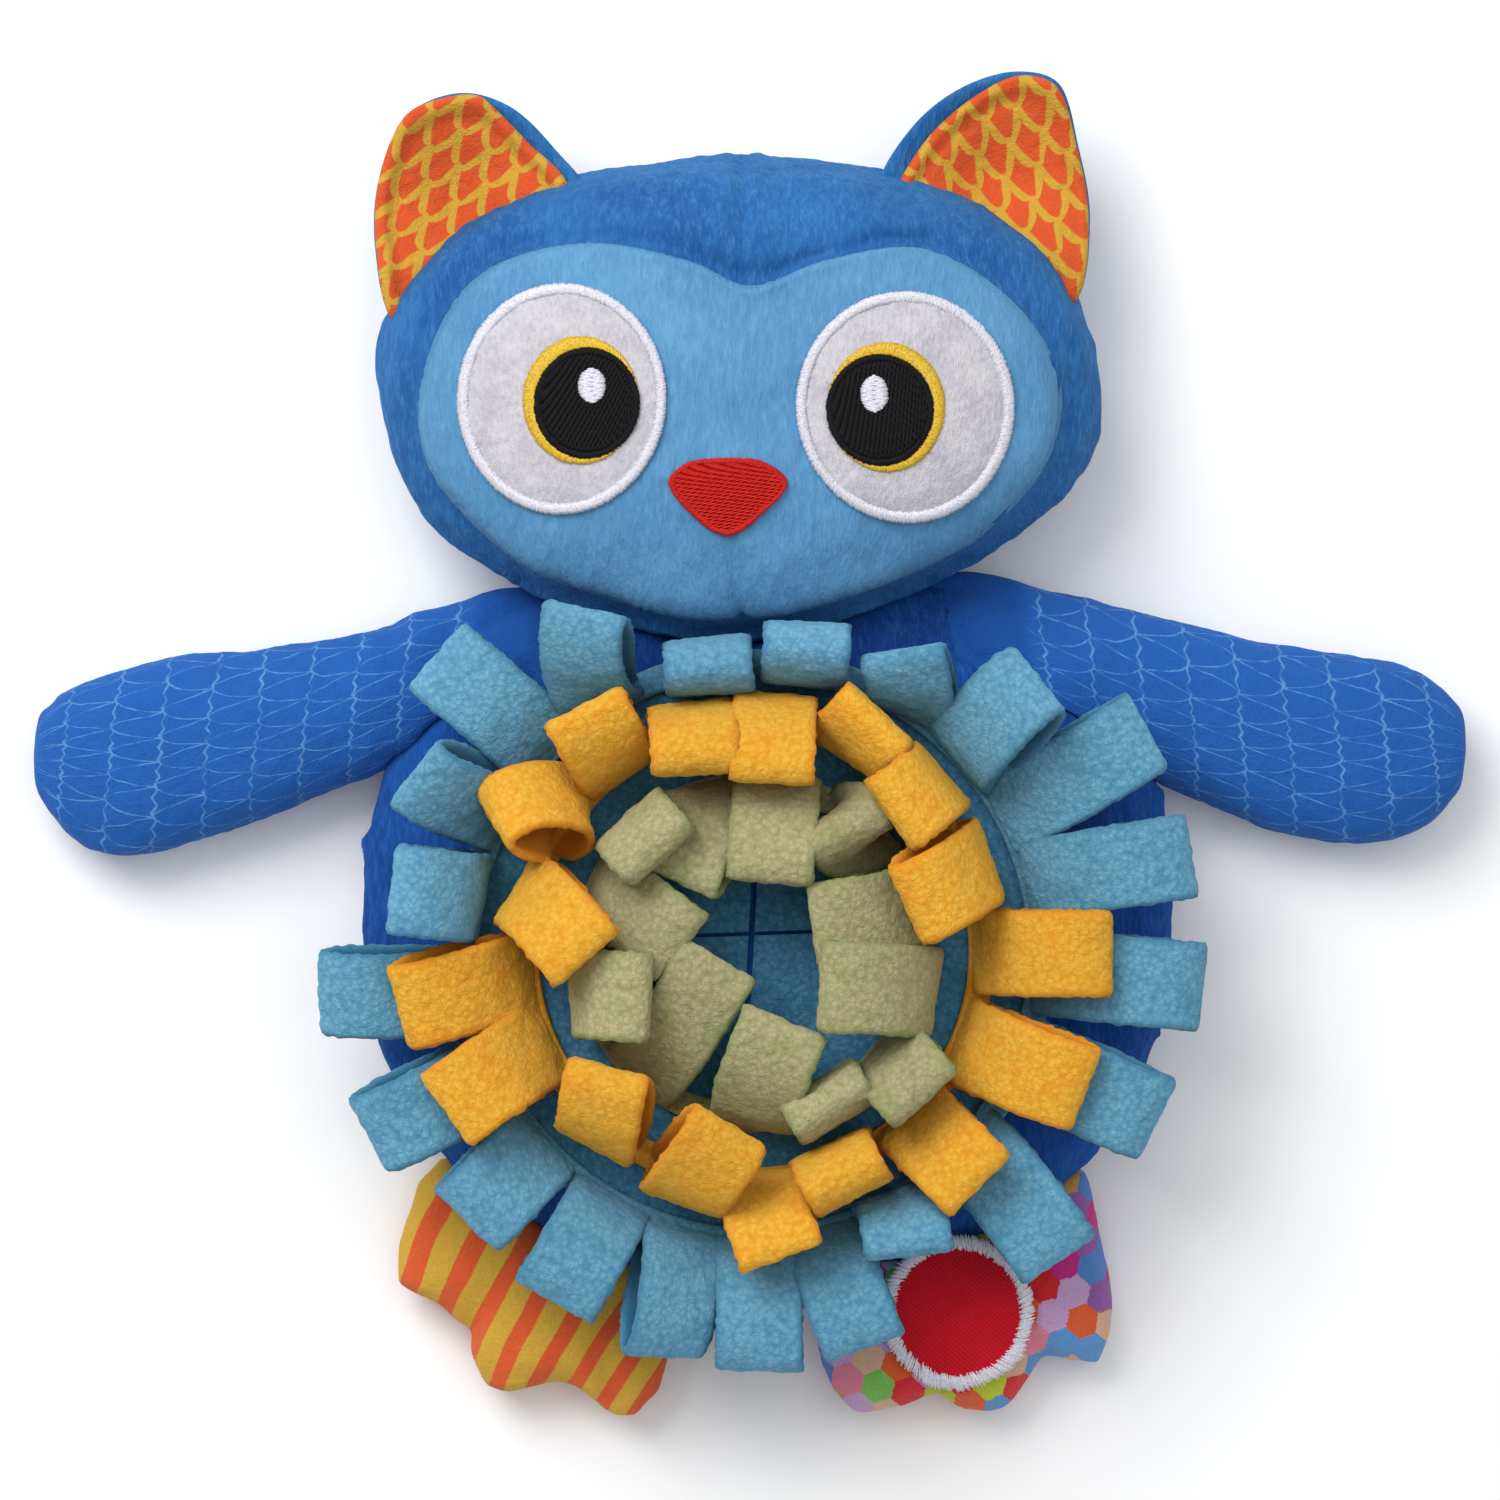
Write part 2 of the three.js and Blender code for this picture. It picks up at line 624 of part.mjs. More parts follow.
// Each ring of loops is sewn on as strips. A strip takes the loops from one place to another,
// counting against the clock.
function loopStrips(name, { radius, colour }, table, strips) {
  const ring = named(columns, table);
  const around = (at, from) => (((at - from) % 360) + 360) % 360;
  Object.entries(strips).forEach(([part, [from, to]]) => {
    const loops = ring
      .filter(({ at }) => around(at, from) < around(to, from))
      .sort((a, b) => around(a.at, from) - around(b.at, from));
    const solids = loops.map((loop) => toSolid(loopStrip(radius, loop)));
    const joined = solids.reduce(
      (whole, loop) => whole.add(loop), toSolid(band(radius, loops, ring)));
    add(`${name}_${part}`, toGeometry(joined.simplify(smoothing)), colour);
  });
}

// The toy
add('head', headSolid(), 0x2d69b4);
add('face_panel', facePanel(), 0x69a5d2);
add('eye_left', onFace(oval(eyeLeft), facePieceLift, appliqueThick, 24), 0xe1dce6);
add('eye_right', onFace(oval(eyeRight), facePieceLift, appliqueThick, 24), 0xe1dce6);
add('pupil_left', onFace(oval(pupilLeft), pupilLift, stitchThick, 16), 0x191619, 0.6);
add('pupil_right', onFace(oval(pupilRight), pupilLift, stitchThick, 16), 0x191619, 0.6);
add('beak', onFace(beakOutline, facePieceLift, stitchThick, 20), 0xc8281e, 0.6);
ear('left', earLeftOutline, { x: -57, y: 103 }, { x: -64, y: 134 });
ear('right', earRightOutline, { x: 50, y: 107 }, { x: 58, y: 139 });
add('body', cutBy(body.solid(), head.solid(gap)), 0x1e5ab9);
add('snuffle_base', snuffleBase(), 0x4f86ab);
loopStrips('loops_outer', rings.outer, outerLoops, outerStrips);
loopStrips('loops_middle', rings.middle, middleLoops, middleStrips);
loopStrips('loops_inner', rings.inner, innerLoops, innerStrips);
add('arm_left', arm(armLeftSections, -1), 0x1e5ab9);
add('arm_right', arm(armRightSections, 1), 0x1e5ab9);
const footLeft = foot(footLeftOutline);
const footRight = foot(footRightOutline);
add('foot_left', cutBy(footLeft.solid(), body.solid(gap)), 0xdc8c46);
add('foot_right', cutBy(footRight.solid(), body.solid(gap)), 0xbe6e96);
add('patch', layer({
  outline: oval(patchPlace),
  surface: footRight.onFront,
  from: restGap,
  to: restGap + appliqueThick,
  corners: 24,
}), 0xa5141e, 0.7);

// The origin goes under the middle of the toy, on the floor
const bounds = new THREE.Box3().setFromObject(toy, true);
const middle = bounds.getCenter(new THREE.Vector3());
toy.position.set(-middle.x, -middle.y, -bounds.min.z);
toy.updateMatrixWorld(true);

export default toy;
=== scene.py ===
"""A plush snuffle toy shaped like an owl, lying on its back on a pale floor.

Sizes are in millimetres and angles in degrees, measured from the toy's own middle.
place() turns such a point into metres in the frame.
"""

import json
import math
import random
from bisect import bisect_right

import bpy
from mathutils import Matrix, Vector, noise

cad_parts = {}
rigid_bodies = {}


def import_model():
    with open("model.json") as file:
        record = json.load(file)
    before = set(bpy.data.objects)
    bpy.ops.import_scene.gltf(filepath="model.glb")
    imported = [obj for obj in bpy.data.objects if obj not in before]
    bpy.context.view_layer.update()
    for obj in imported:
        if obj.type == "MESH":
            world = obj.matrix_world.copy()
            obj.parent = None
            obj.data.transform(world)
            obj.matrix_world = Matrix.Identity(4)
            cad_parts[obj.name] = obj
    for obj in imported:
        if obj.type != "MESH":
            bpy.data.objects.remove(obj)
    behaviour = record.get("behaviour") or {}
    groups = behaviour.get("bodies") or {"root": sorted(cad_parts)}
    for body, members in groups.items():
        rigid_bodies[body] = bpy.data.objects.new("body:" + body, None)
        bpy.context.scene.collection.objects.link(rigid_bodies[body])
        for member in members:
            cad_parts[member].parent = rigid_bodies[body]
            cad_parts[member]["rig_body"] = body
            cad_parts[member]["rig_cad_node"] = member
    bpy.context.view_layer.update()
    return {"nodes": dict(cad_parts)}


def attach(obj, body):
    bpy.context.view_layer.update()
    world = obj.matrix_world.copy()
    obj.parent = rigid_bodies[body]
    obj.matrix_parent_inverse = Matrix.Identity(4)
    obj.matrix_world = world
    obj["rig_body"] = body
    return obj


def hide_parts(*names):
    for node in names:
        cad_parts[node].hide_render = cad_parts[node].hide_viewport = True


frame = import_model()

METRES = 0.001
# Where the toy's own middle lies in the frame
FRAME_SHIFT = Vector((-0.15, -0.01, 0.0))

# Heights and thicknesses, as in the solids
SHEET_THICK = 2.0
REST_GAP = 0.5
BAND_GAP = 0.5
BODY_CENTRE = (3.7, -36.0)
BODY_HALF_WIDE = 85.0
BODY_HALF_LONG = 74.0
BODY_SEAM = 14.0
BODY_CROWN = 14.0
SQUARE_TOP = 2.5
SQUARE_BOTTOM = 2.3
HEAD_CENTRE = (-2.0, 72.0)
HEAD_SEAM = 24.0
HEAD_CROWN = 32.0
CROWN_EDGE = 3.0
FOOT_SEAM = 9.0
FOOT_CROWN = 11.0

# Fleece loops
RING_CENTRE = (1.0, -42.0)
BASE_RADIUS = 62.0
# Two slits cross in the base, each given by its turn and its width
SLITS = ((2, 0.8), (87, 1.2))
SLIT_CROSSING = (0.5, -38.5, 28.0)
SLIT_LONG = 48.0
SLIT_DEEP = 40.0
LOOP_WIDE = 17.4
LEG_APART = 1.2
SPINE_STEPS = 24
ROOT_LIFT = REST_GAP + SHEET_THICK + BAND_GAP + 1.3
BAND_WIDE = 5.4
BAND_THICK = 2.4
RING_RADIUS = {"inner": 34.5, "middle": 47.0, "outer": 59.0}

# One row is one loop of a ring. at: its place round the ring. turn: how far it turns about the
# upright from root to tip. rise and fall: its slope at the root and at the tip, where 0 is flat
# outwards, 90 upright and 180 flat inwards. long: root to tip. open: half its opening.
# roll: how far it rolls about its own length towards the tip.
LOOP_COLUMNS = ("at", "turn", "rise", "fall", "long", "open", "roll")
OUTER_LOOPS = (
    (136, 4, 50, -10, 32.5, 3, 0),
    (121.5, -30, 62, 42, 31, 4, -20),
    (99, -6, 88, 96, 28.5, 5, 0),
    (80, 6, 86, 74, 29, 5.2, 0),
    (57.5, 54, 80, 52, 28, 3, -15),
    (43, 6, 74, 22, 32, 4.5, -25),
    (29, 2, 45, -10, 35.5, 2.5, 10),
    (14, -6, 45, -10, 35, 4.6, 0),
    (-4, -2, 44, -10, 35, 4.8, 0),
    (-22, -2, 50, -10, 33, 3, 10),
    (-42, -13, 45, -12, 32, 3, 0),
    (-60, -22, 85, 56, 24, 4, 0),
    (-75.5, 7, 60, 0, 28.5, 3.5, 0),
    (-89, -1, 55, -10, 28.5, 5.2, 0),
    (-104, 5, 58, -8, 28.5, 4, -25),
    (-120, 0, 66, -8, 27, 3, 0),
    (-138, 4, 68, 2, 26, 3.2, -10),
    (-155, 1, 55, -10, 31.5, 4, -15),
    (-173, -8, 45, -10, 32, 4, -15),
    (169, 4, 86, 40, 31, 5.8, 0),
    (151, 6, 60, 36, 27.5, 4, -25),
)
MIDDLE_LOOPS = (
    (105, -12, 82, 122, 32, 6, 0),
    (85, 2, 76, 145, 34, 6, 0),
    (64.5, -18, 87, 66, 28, 4.2, 0),
    (44, -8, 74, 130, 32.5, 5.5, 0),
    (22, 10, 75, 158, 35, 5.5, -15),
    (0, 0, 65, 5, 32, 5, 0),
    (-23, 3, 65, 5, 32.5, 3, 10),
    (-46, 2, 76, 26, 29, 2.8, 0),
    (-68, 6, 90, 84, 28, 5.5, 0),
    (-88, 18, 80, 38, 28, 3.6, 0),
    (-106, -22, 68, 162, 35, 5, 15),
    (-131, 38, 80, 145, 33, 5.5, -15),
    (-156, 12, 70, 15, 32, 3, 0),
    (-174, 10, 62, 5, 32, 3.5, -15),
    (166, -36, 84, 152, 37, 4.6, 0),
    (143.5, 46, 90, 22, 27.5, 6, 45),
    (126, -8, 84, 42, 30, 4.6, 0),
)
INNER_LOOPS = (
    (133, 0, 92, 108, 28, 4.6, 0),
    (107, -46, 112, 160, 27, 4, 15),
    (82, 4, 98, 160, 31, 4.8, 0),
    (49, -88, 114, 86, 24, 4, -25),
    (16, -8, 102, 170, 31, 3.6, 0),
    (-13, 10, 86, 164, 37, 6.4, 0),
    (-38, -10, 85, 56, 29, 4.8, 0),
    (-63, 5, 94, 90, 26, 4.4, 0),
    (-90, -22, 104, 155, 35, 5, 0),
    (-132, 12, 118, 172, 37, 3.5, 0),
    (-166, -18, 88, 135, 31, 5.6, 0),
    (158, -16, 108, 162, 30, 3.6, 0),
)

# Outlines seen from the front, as corners of smooth closed curves
HEAD_OUTLINE = (
    (-2, 123.8), (-30, 120.3), (-46, 116), (-66, 103.5), (-77, 88), (-76.8, 68), (-69, 48.5),
    (-52, 34.8), (-34, 27.6), (-14, 21.9), (4, 22), (24, 27.2), (42, 35), (60, 46), (70.5, 56.5),
    (73.3, 74), (69, 94), (56, 108), (40, 116.6), (20, 121.6),
)
FACE_OUTLINE = (
    (0, 94.8), (-12, 100), (-35, 104.2), (-57, 97.4), (-68, 78), (-68.5, 60), (-57, 44),
    (-40, 31.5), (-14, 21.9), (4, 22), (28, 29.5), (48, 41.5), (62.5, 58), (65.5, 76),
    (54, 93.3), (36, 103.2), (16, 100.3),
)
EAR_LEFT_OUTLINE = (
    (-73, 88), (-77.5, 103), (-77, 118), (-70.5, 131.5), (-60, 135.8), (-49.5, 133), (-40, 124),
    (-34, 115), (-46, 104), (-60, 94),
)
EAR_RIGHT_OUTLINE = (
    (27, 115), (33.5, 128.5), (44, 137), (56, 140.3), (64, 138), (68.5, 125), (70.8, 110),
    (67, 92), (54, 98), (40, 108),
)
# The printed fronts of the ears, which leave the back bare along the edge nearer the crown
PRINT_LEFT_OUTLINE = (
    (-73, 88), (-77.2, 103), (-76.8, 118), (-71, 131), (-63, 134.6), (-56, 135), (-53, 132.8),
    (-46, 125.8), (-37.5, 116), (-46, 104), (-60, 94),
)
PRINT_RIGHT_OUTLINE = (
    (30.5, 113), (35.5, 124.5), (44.5, 133.5), (56, 139.2), (63.6, 137), (68, 125), (70.4, 110),
    (67, 92), (54, 98), (40, 108),
)
FOOT_RIGHT_OUTLINE = (
    (67, -86), (73, -101), (76.5, -119), (73.5, -129), (61, -129.5), (53.5, -139.2),
    (34.5, -135.9), (25.5, -140.8), (17.5, -132.5), (13.5, -117), (18, -98), (44, -86),
)
BEAK_OUTLINE = (
    (-4.8, 58.6), (-12.3, 57.9), (-15.9, 54.4), (-11.8, 48.6), (-4.4, 44), (2.9, 48.6),
    (7.4, 54), (2.9, 57.9),
)
# Ovals given by their middle, half width and half height
EYES = {
    "left": {"white": (-37.8, 71.2, 20.6, 22.5), "pupil": (-32.6, 70.1, 10.6, 11.1),
             "iris": (-33.95, 70.8, 11.6, 12.8), "glint": (-31.6, 73.6, 3.1, 3.6)},
    "right": {"white": (31.5, 69.6, 21.5, 22.5), "pupil": (26.3, 68.8, 10.8, 11.1),
              "iris": (27.65, 69.4, 11.8, 12.9), "glint": (25.2, 71.9, 3.1, 3.8)},
}
# The creases between the toes, from the edge of the foot inwards
TOE_CREASES = {
    "left": (((-58, -121), (-50, -108)), ((-30.5, -133), (-33, -113))),
    "right": (((62, -130), (56, -112)), ((40, -136), (40, -114))),
}
PATCH_CENTRE = (43.5, -117.5)
PATCH_RADIUS = 15.5
SHORTEST_STITCH = 0.4


# Shapes as plain maths

def place(point):
    """A point of the toy in the frame, in metres"""
    return (Vector(point) + FRAME_SHIFT) * METRES


def within(amount, low=0.0, high=1.0):
    """A number kept from low to high"""
    return min(max(amount, low), high)


def smooth_closed(corners, steps=12):
    """Points on a closed centripetal curve through the corners"""
    points = [Vector((x, y)) for x, y in corners]
    count = len(points)
    curve = []
    for i in range(count):
        a, b, c, d = (points[(i + k - 1) % count] for k in range(4))
        before, between, after = (math.sqrt((q - p).length) for p, q in ((a, b), (b, c), (c, d)))
        leave = ((b - a) / before - (c - a) / (before + between) + (c - b) / between) * between
        arrive = ((c - b) / between - (d - b) / (between + after) + (d - c) / after) * between
        for k in range(steps):
            t = k / steps
            curve.append(
                b * (2 * t ** 3 - 3 * t ** 2 + 1)
                + c * (3 * t ** 2 - 2 * t ** 3)
                + leave * (t ** 3 - 2 * t ** 2 + t)
                + arrive * (t ** 3 - t ** 2)
            )
    return curve


def middle_of(outline):
    xs = [x for x, _ in outline]
    ys = [y for _, y in outline]
    return ((min(xs) + max(xs)) / 2, (min(ys) + max(ys)) / 2)


def reach_of(outline, centre):
    """How far a smooth outline reaches from a centre, as a function of the direction"""
    entries = []
    for point in smooth_closed(outline):
        dx = point.x - centre[0]
        dy = point.y - centre[1]
        entries.append((math.atan2(dy, dx), math.hypot(dx, dy)))
    entries.sort()
    entries = [(entries[-1][0] - math.tau, entries[-1][1]), *entries,
               (entries[0][0] + math.tau, entries[0][1])]
    angles = [angle for angle, _ in entries]

    def reach(angle):
        angle = math.atan2(math.sin(angle), math.cos(angle))
        after = within(bisect_right(angles, angle), 1, len(entries) - 1)
        low, high = entries[after - 1], entries[after]
        part = (angle - low[0]) / max(high[0] - low[0], 1e-9)
        return low[1] + (high[1] - low[1]) * part

    return reach


def round_reach(half_wide, half_high):
    """The reach of an oval from its own middle"""
    return lambda angle: 1 / math.hypot(math.cos(angle) / half_wide, math.sin(angle) / half_high)


def wider(reach, by):
    """The reach of a shape made wider all round"""
    return lambda angle: reach(angle) + by


def body_reach(angle):
    square = SQUARE_TOP if math.sin(angle) > 0 else SQUARE_BOTTOM
    across = abs(math.cos(angle) / BODY_HALF_WIDE) ** square
    along = abs(math.sin(angle) / BODY_HALF_LONG) ** square
    return (across + along) ** (-1 / square)


def pad_front(centre, reach, seam, front, fullness):
    """A function that gives a point over a stuffed pad's front, lifted along the normal"""
    def height(x, y):
        dx = x - centre[0]
        dy = y - centre[1]
        share = min(math.hypot(dx, dy) / reach(math.atan2(dy, dx)), 1)
        return seam + front * math.sqrt(max(0.0, 1 - share ** fullness))

    def surface(x, y, lift=0.0):
        step = 0.5
        slope_x = (height(x + step, y) - height(x - step, y)) / (2 * step)
        slope_y = (height(x, y + step) - height(x, y - step)) / (2 * step)
        normal = Vector((-slope_x, -slope_y, 1)).normalized()
        return Vector((x, y, height(x, y))) + normal * lift

    return surface


head_reach = reach_of(HEAD_OUTLINE, HEAD_CENTRE)
drawn_face_reach = reach_of(FACE_OUTLINE, HEAD_CENTRE)
foot_right_centre = middle_of(FOOT_RIGHT_OUTLINE)
on_body = pad_front(BODY_CENTRE, body_reach, BODY_SEAM, BODY_CROWN, 4)
on_head = pad_front(HEAD_CENTRE, head_reach, HEAD_SEAM, HEAD_CROWN, 3)
on_foot_right = pad_front(
    foot_right_centre, reach_of(FOOT_RIGHT_OUTLINE, foot_right_centre), FOOT_SEAM, FOOT_CROWN, 4)


def face_reach(angle):
    return min(drawn_face_reach(angle), head_reach(angle) - CROWN_EDGE)


def grain(point, size, seed=0.0):
    """Smooth noise from -1 to 1 with bumps of about a size in millimetres"""
    return noise.noise(Vector(point) / size + Vector((seed, 2 * seed, 3 * seed)))


def hump(distance, width):
    """1 at no distance, falling smoothly to 0 over about a width"""
    return math.exp(-((distance / width) ** 2))


def distance_to_line(x, y, start, end):
    """How far a point is from a straight line between two points, and its share along it"""
    along = Vector(end) - Vector(start)
    away = Vector((x, y)) - Vector(start)
    share = within(away.dot(along) / along.length_squared)
    return (away - along * share).length, share


# Small helpers for pieces

def deselect_all():
    for item in bpy.context.selected_objects:
        item.select_set(False)


def make_active(piece):
    deselect_all()
    piece.select_set(True)
    bpy.context.view_layer.objects.active = piece


def edit_whole(operator, **settings):
    """Runs an edit mode operator on all of the active piece"""
    bpy.ops.object.mode_set(mode="EDIT")
    bpy.ops.mesh.select_all(action="SELECT")
    operator(**settings)
    bpy.ops.object.mode_set(mode="OBJECT")


def apply_all(piece):
    make_active(piece)
    for modifier in list(piece.modifiers):
        bpy.ops.object.modifier_apply(modifier=modifier.name)


def piece_from(name, points, faces):
    """A smooth mesh piece from points in millimetres"""
    mesh = bpy.data.meshes.new(name)
    mesh.from_pydata([place(point) for point in points], [], faces)
    mesh.shade_smooth()
    mesh.update()
    piece = bpy.data.objects.new(name, mesh)
    bpy.context.scene.collection.objects.link(piece)
    return piece


def keep_numbers(piece, label, numbers):
    """Keeps a number at each point of a piece, for its material"""
    kept = piece.data.attributes.new(label, "FLOAT", "POINT")
    kept.data.foreach_set("value", numbers)


def fix_to_toy(piece, finish, slot):
    piece.data.materials.clear()
    piece.data.materials.append(finish)
    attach(piece, "root")


def join_rings(rings, wraps=False):
    """Faces between rings of point numbers that all have the same count"""
    faces = []
    last = len(rings) if wraps else len(rings) - 1
    for k in range(last):
        near = rings[k]
        far = rings[(k + 1) % len(rings)]
        count = len(near)
        for i in range(count):
            j = (i + 1) % count
            faces.append((near[i], far[i], far[j], near[j]))
    return faces


def fan(middle, ring, flip):
    """Faces from a middle point to a closed ring of point numbers"""
    faces = []
    for k, number in enumerate(ring):
        following = ring[(k + 1) % len(ring)]
        faces.append((middle, following, number) if flip else (middle, number, following))
    return faces


# Materials

class Value:
    """A node's number, so that a pattern can be written as a formula"""

    def __init__(self, finish, socket):
        self.finish = finish
        self.socket = socket

    def __add__(self, other):
        return self.finish.maths("ADD", self, other)

    def __sub__(self, other):
        return self.finish.maths("SUBTRACT", self, other)

    def __rsub__(self, other):
        return self.finish.maths("SUBTRACT", other, self)

    def __mul__(self, other):
        return self.finish.maths("MULTIPLY", self, other)

    def __truediv__(self, other):
        return self.finish.maths("DIVIDE", self, other)

    def __pow__(self, other):
        return self.finish.maths("POWER", self, other)

    def __abs__(self):
        return self.finish.maths("ABSOLUTE", self)

    def __lt__(self, other):
        return self.finish.maths("LESS_THAN", self, other)

    __radd__ = __add__
    __rmul__ = __mul__


def fill_ramp(ramp, stops):
    """Gives a ramp its colours, each from its place up to the next one's"""
    ramp.interpolation = "CONSTANT"
    while len(ramp.elements) < len(stops):
        ramp.elements.new(1.0)
    for element, (at, shade) in zip(ramp.elements, stops):
        element.position = at
        element.color = shade


class Finish:
    """One material, built from nodes"""

    def __init__(self, name):
        self.material = bpy.data.materials.new(name)
        self.material.use_nodes = True
        self.tree = self.material.node_tree
        self.tree.nodes.clear()

    def node(self, kind, settings=None, sockets=None):
        """A node: its settings first, then the values or links of its sockets"""
        made = self.tree.nodes.new(kind)
        for name, value in (settings or {}).items():
            if name == "stops":
                fill_ramp(made.color_ramp, value)
            else:
                setattr(made, name, value)
        for name, value in (sockets or {}).items():
            if isinstance(value, Value):
                self.tree.links.new(value.socket, made.inputs[name])
            elif made.inputs[name].type == "VECTOR":
                made.inputs[name].default_value = value[:3]
            else:
                made.inputs[name].default_value = value
        return made

    def value(self, kind, settings=None, sockets=None, output=0):
        """What a new node gives out"""
        return Value(self, self.node(kind, settings, sockets).outputs[output])

    def maths(self, operation, *terms):
        return self.value("ShaderNodeMath", {"operation": operation}, dict(enumerate(terms)))

    def vector(self, operation, *terms):
        return self.value("ShaderNodeVectorMath", {"operation": operation}, dict(enumerate(terms)))

    def limit(self, amount):
        """A number kept between 0 and 1"""
        return self.value("ShaderNodeClamp", None, {0: amount})

    def step(self, amount, low, high):
        """0 below low and 1 above high, with a smooth change between"""
        return self.value(
            "ShaderNodeMapRange", {"interpolation_type": "SMOOTHSTEP"},
            {"Value": amount, "From Min": low, "From Max": high})

    def blend(self, share, first, second):
        """From the first colour to the second"""
        return self.value(
            "ShaderNodeMix", {"data_type": "RGBA"}, {0: share, 6: first, 7: second}, 2)

    def shade(self, colour, share):
        """A colour made lighter or darker by a number"""
        return self.value(
            "ShaderNodeVectorMath", {"operation": "SCALE"}, {0: colour, "Scale": share})

    def place(self, turn=0.0, stretch=(1, 1, 1)):
        """Object coordinates in millimetres, turned about the upright and stretched"""
        coordinates = self.value("ShaderNodeTexCoord", output="Object")
        return self.value(
            "ShaderNodeMapping", None,
            {"Vector": coordinates, "Rotation": (0, 0, math.radians(turn)),
             "Scale": [part / METRES for part in stretch]})

    def parts(self, vector):
        split = self.node("ShaderNodeSeparateXYZ", None, {0: vector})
        return [Value(self, output) for output in split.outputs]

    def combine(self, x, y, z=0.0):
        return self.value("ShaderNodeCombineXYZ", None, {0: x, 1: y, 2: z})

    def kept(self, name):
        """A number kept at the mesh's points"""
        return self.value("ShaderNodeAttribute", {"attribute_name": name}, None, "Fac")

    def clouds(self, at, size, detail=3.0, rough=0.55):
        """Noise from 0 to 1 with patches of about a size in millimetres"""
        return self.value(
            "ShaderNodeTexNoise", None,
            {"Vector": at, "Scale": 1 / size, "Detail": detail, "Roughness": rough})

    def pebbles(self, at, size):
        """The distance from the nearest of many scattered points, about 0 to 1"""
        return self.value(
            "ShaderNodeTexVoronoi", None, {"Vector": at, "Scale": 1 / size}, "Distance")

    def bump(self, height, deep, normal=None):
        """A normal bent by a height from 0 to 1 that stands for a depth in millimetres"""
        sockets = {"Height": height, "Distance": deep * METRES, "Strength": 1.0}
        if normal:
            sockets["Normal"] = normal
        return self.value("ShaderNodeBump", None, sockets)

    def cloth(self, colour, rough, sheen, sheen_tint, normal, gloss=0.15):
        """Ends the material with a cloth surface"""
        surface = self.value("ShaderNodeBsdfPrincipled", None, {
            "Base Color": colour, "Roughness": rough, "Sheen Weight": sheen,
            "Sheen Roughness": 0.5, "Sheen Tint": sheen_tint, "Specular IOR Level": gloss,
            "Normal": normal})
        self.node("ShaderNodeOutputMaterial", None, {"Surface": surface})
        return self.material


def colour(shade):
    """A colour as it looks on a screen, from 0 to 255, in the form that a shader takes"""
    shares = [part / 255 for part in shade]
    return [((s + 0.055) / 1.055) ** 2.4 if s > 0.04045 else s / 12.92 for s in shares] + [1.0]


def combed_plush(name, shades, comb_turns, around=None):
    """Short pile with fine strands, in a middle, a light and a dark shade. It is combed one way
    over the middle of a piece and another way beside it, where around gives the middle and the
    reach of the change. Without around, both ways show all over."""
    base, light, dark = map(colour, shades)
    finish = Finish(name)
    at = finish.place()
    beside = 0.55
    if around:
        x, y, _ = finish.parts(at)
        away = abs(x - around[0]) - abs(y - around[1]) * 1.2
        beside = finish.step(away, -around[2], around[2])

    def combed(size, long, detail):
        first, second = (
            finish.clouds(finish.place(turn, (1.0, long, 0.6)), size, detail, 0.6)
            for turn in comb_turns)
        return first * (1 - beside) + second * beside

    streaks = combed(1.5, 0.3, 4.0)
    strands = combed(0.6, 0.25, 3.0)
    patches = finish.clouds(at, 26.0, 2.0)
    tone = finish.blend(finish.step(patches * 0.6 + streaks * 0.4, 0.34, 0.66), dark, base)
    # Painted highlights: the strands and streaks of the pile take the light colour
    tone = finish.blend(finish.step(strands * 0.6 + streaks * 0.4, 0.44, 0.74) * 0.35, tone, light)
    # Painted shade between the strands, with a little uneven tone from the patches
    tone = finish.shade(tone, 0.74 + strands * 0.44 + patches * 0.08)
    normal = finish.bump(strands, 0.45, finish.bump(streaks, 0.4))
    return finish.cloth(tone, 0.9, 0.4, light, normal)


def nubby_fleece(name, *shades):
    """Fleece with tight curls on one side and a smooth knitted back"""
    outside, curl_highlight, dark, inside = map(colour, shades)
    finish = Finish(name)
    at = finish.place()
    curl = finish.value(
        "ShaderNodeTexNoise", None, {"Vector": at, "Scale": 0.9, "Detail": 1.0}, "Color")
    curls = 1 - finish.pebbles(finish.vector("ADD", at, curl), 1.3)
    fuzz = finish.clouds(at, 0.4, 3.0, 0.7)
    cloud = finish.clouds(at, 7.0, 2.0)
    nap = finish.kept("nap")
    tone = finish.kept("tone")
    woolly = curls * 0.6 + fuzz * 0.7
    # Painted shade: the crevices between the curls take the dark colour. Painted highlights: the
    # curl tops take the highlight colour.
    pile = finish.blend(finish.step(woolly, 0.15, 0.8), dark, outside)
    pile = finish.blend(finish.step(woolly, 0.6, 1.1) * 0.8, pile, curl_highlight)
    pile = finish.blend(finish.step(cloud, 0.5, 0.75) * 0.35, pile, inside)
    pile = finish.shade(pile, 0.86 + tone * 0.14 + cloud * 0.16)
    # The back takes the knitted side's deeper colour, partly real and partly painted shade, as it
    # lies on the inner side of each loop and darkens the cut edges
    back = finish.shade(inside, 0.8 + fuzz * 0.4)
    normal = finish.bump(curls * nap * 0.6 + fuzz * 0.9, 0.65)
    return finish.cloth(finish.blend(nap, back, pile), 0.95, 0.6, curl_highlight, normal)


def start_velour(name):
    """A new finish for short velour, the place on it and its fine fuzz"""
    finish = Finish(name)
    at = finish.place()
    return finish, at, finish.clouds(at, 0.5, 3.0, 0.7)


def printed_velour(finish, shown, fuzz, at, light):
    """Ends a print on short velour: woolly shading, fine bumps and a soft sheen"""
    cloud = finish.clouds(at, 9.0, 2.0)
    shown = finish.shade(shown, 0.7 + fuzz * 0.54 + cloud * 0.14)
    normal = finish.bump(fuzz, 0.45, finish.bump(finish.clouds(at, 2.2, 2.0), 0.5))
    return finish.cloth(shown, 0.85, 0.3, light, normal)


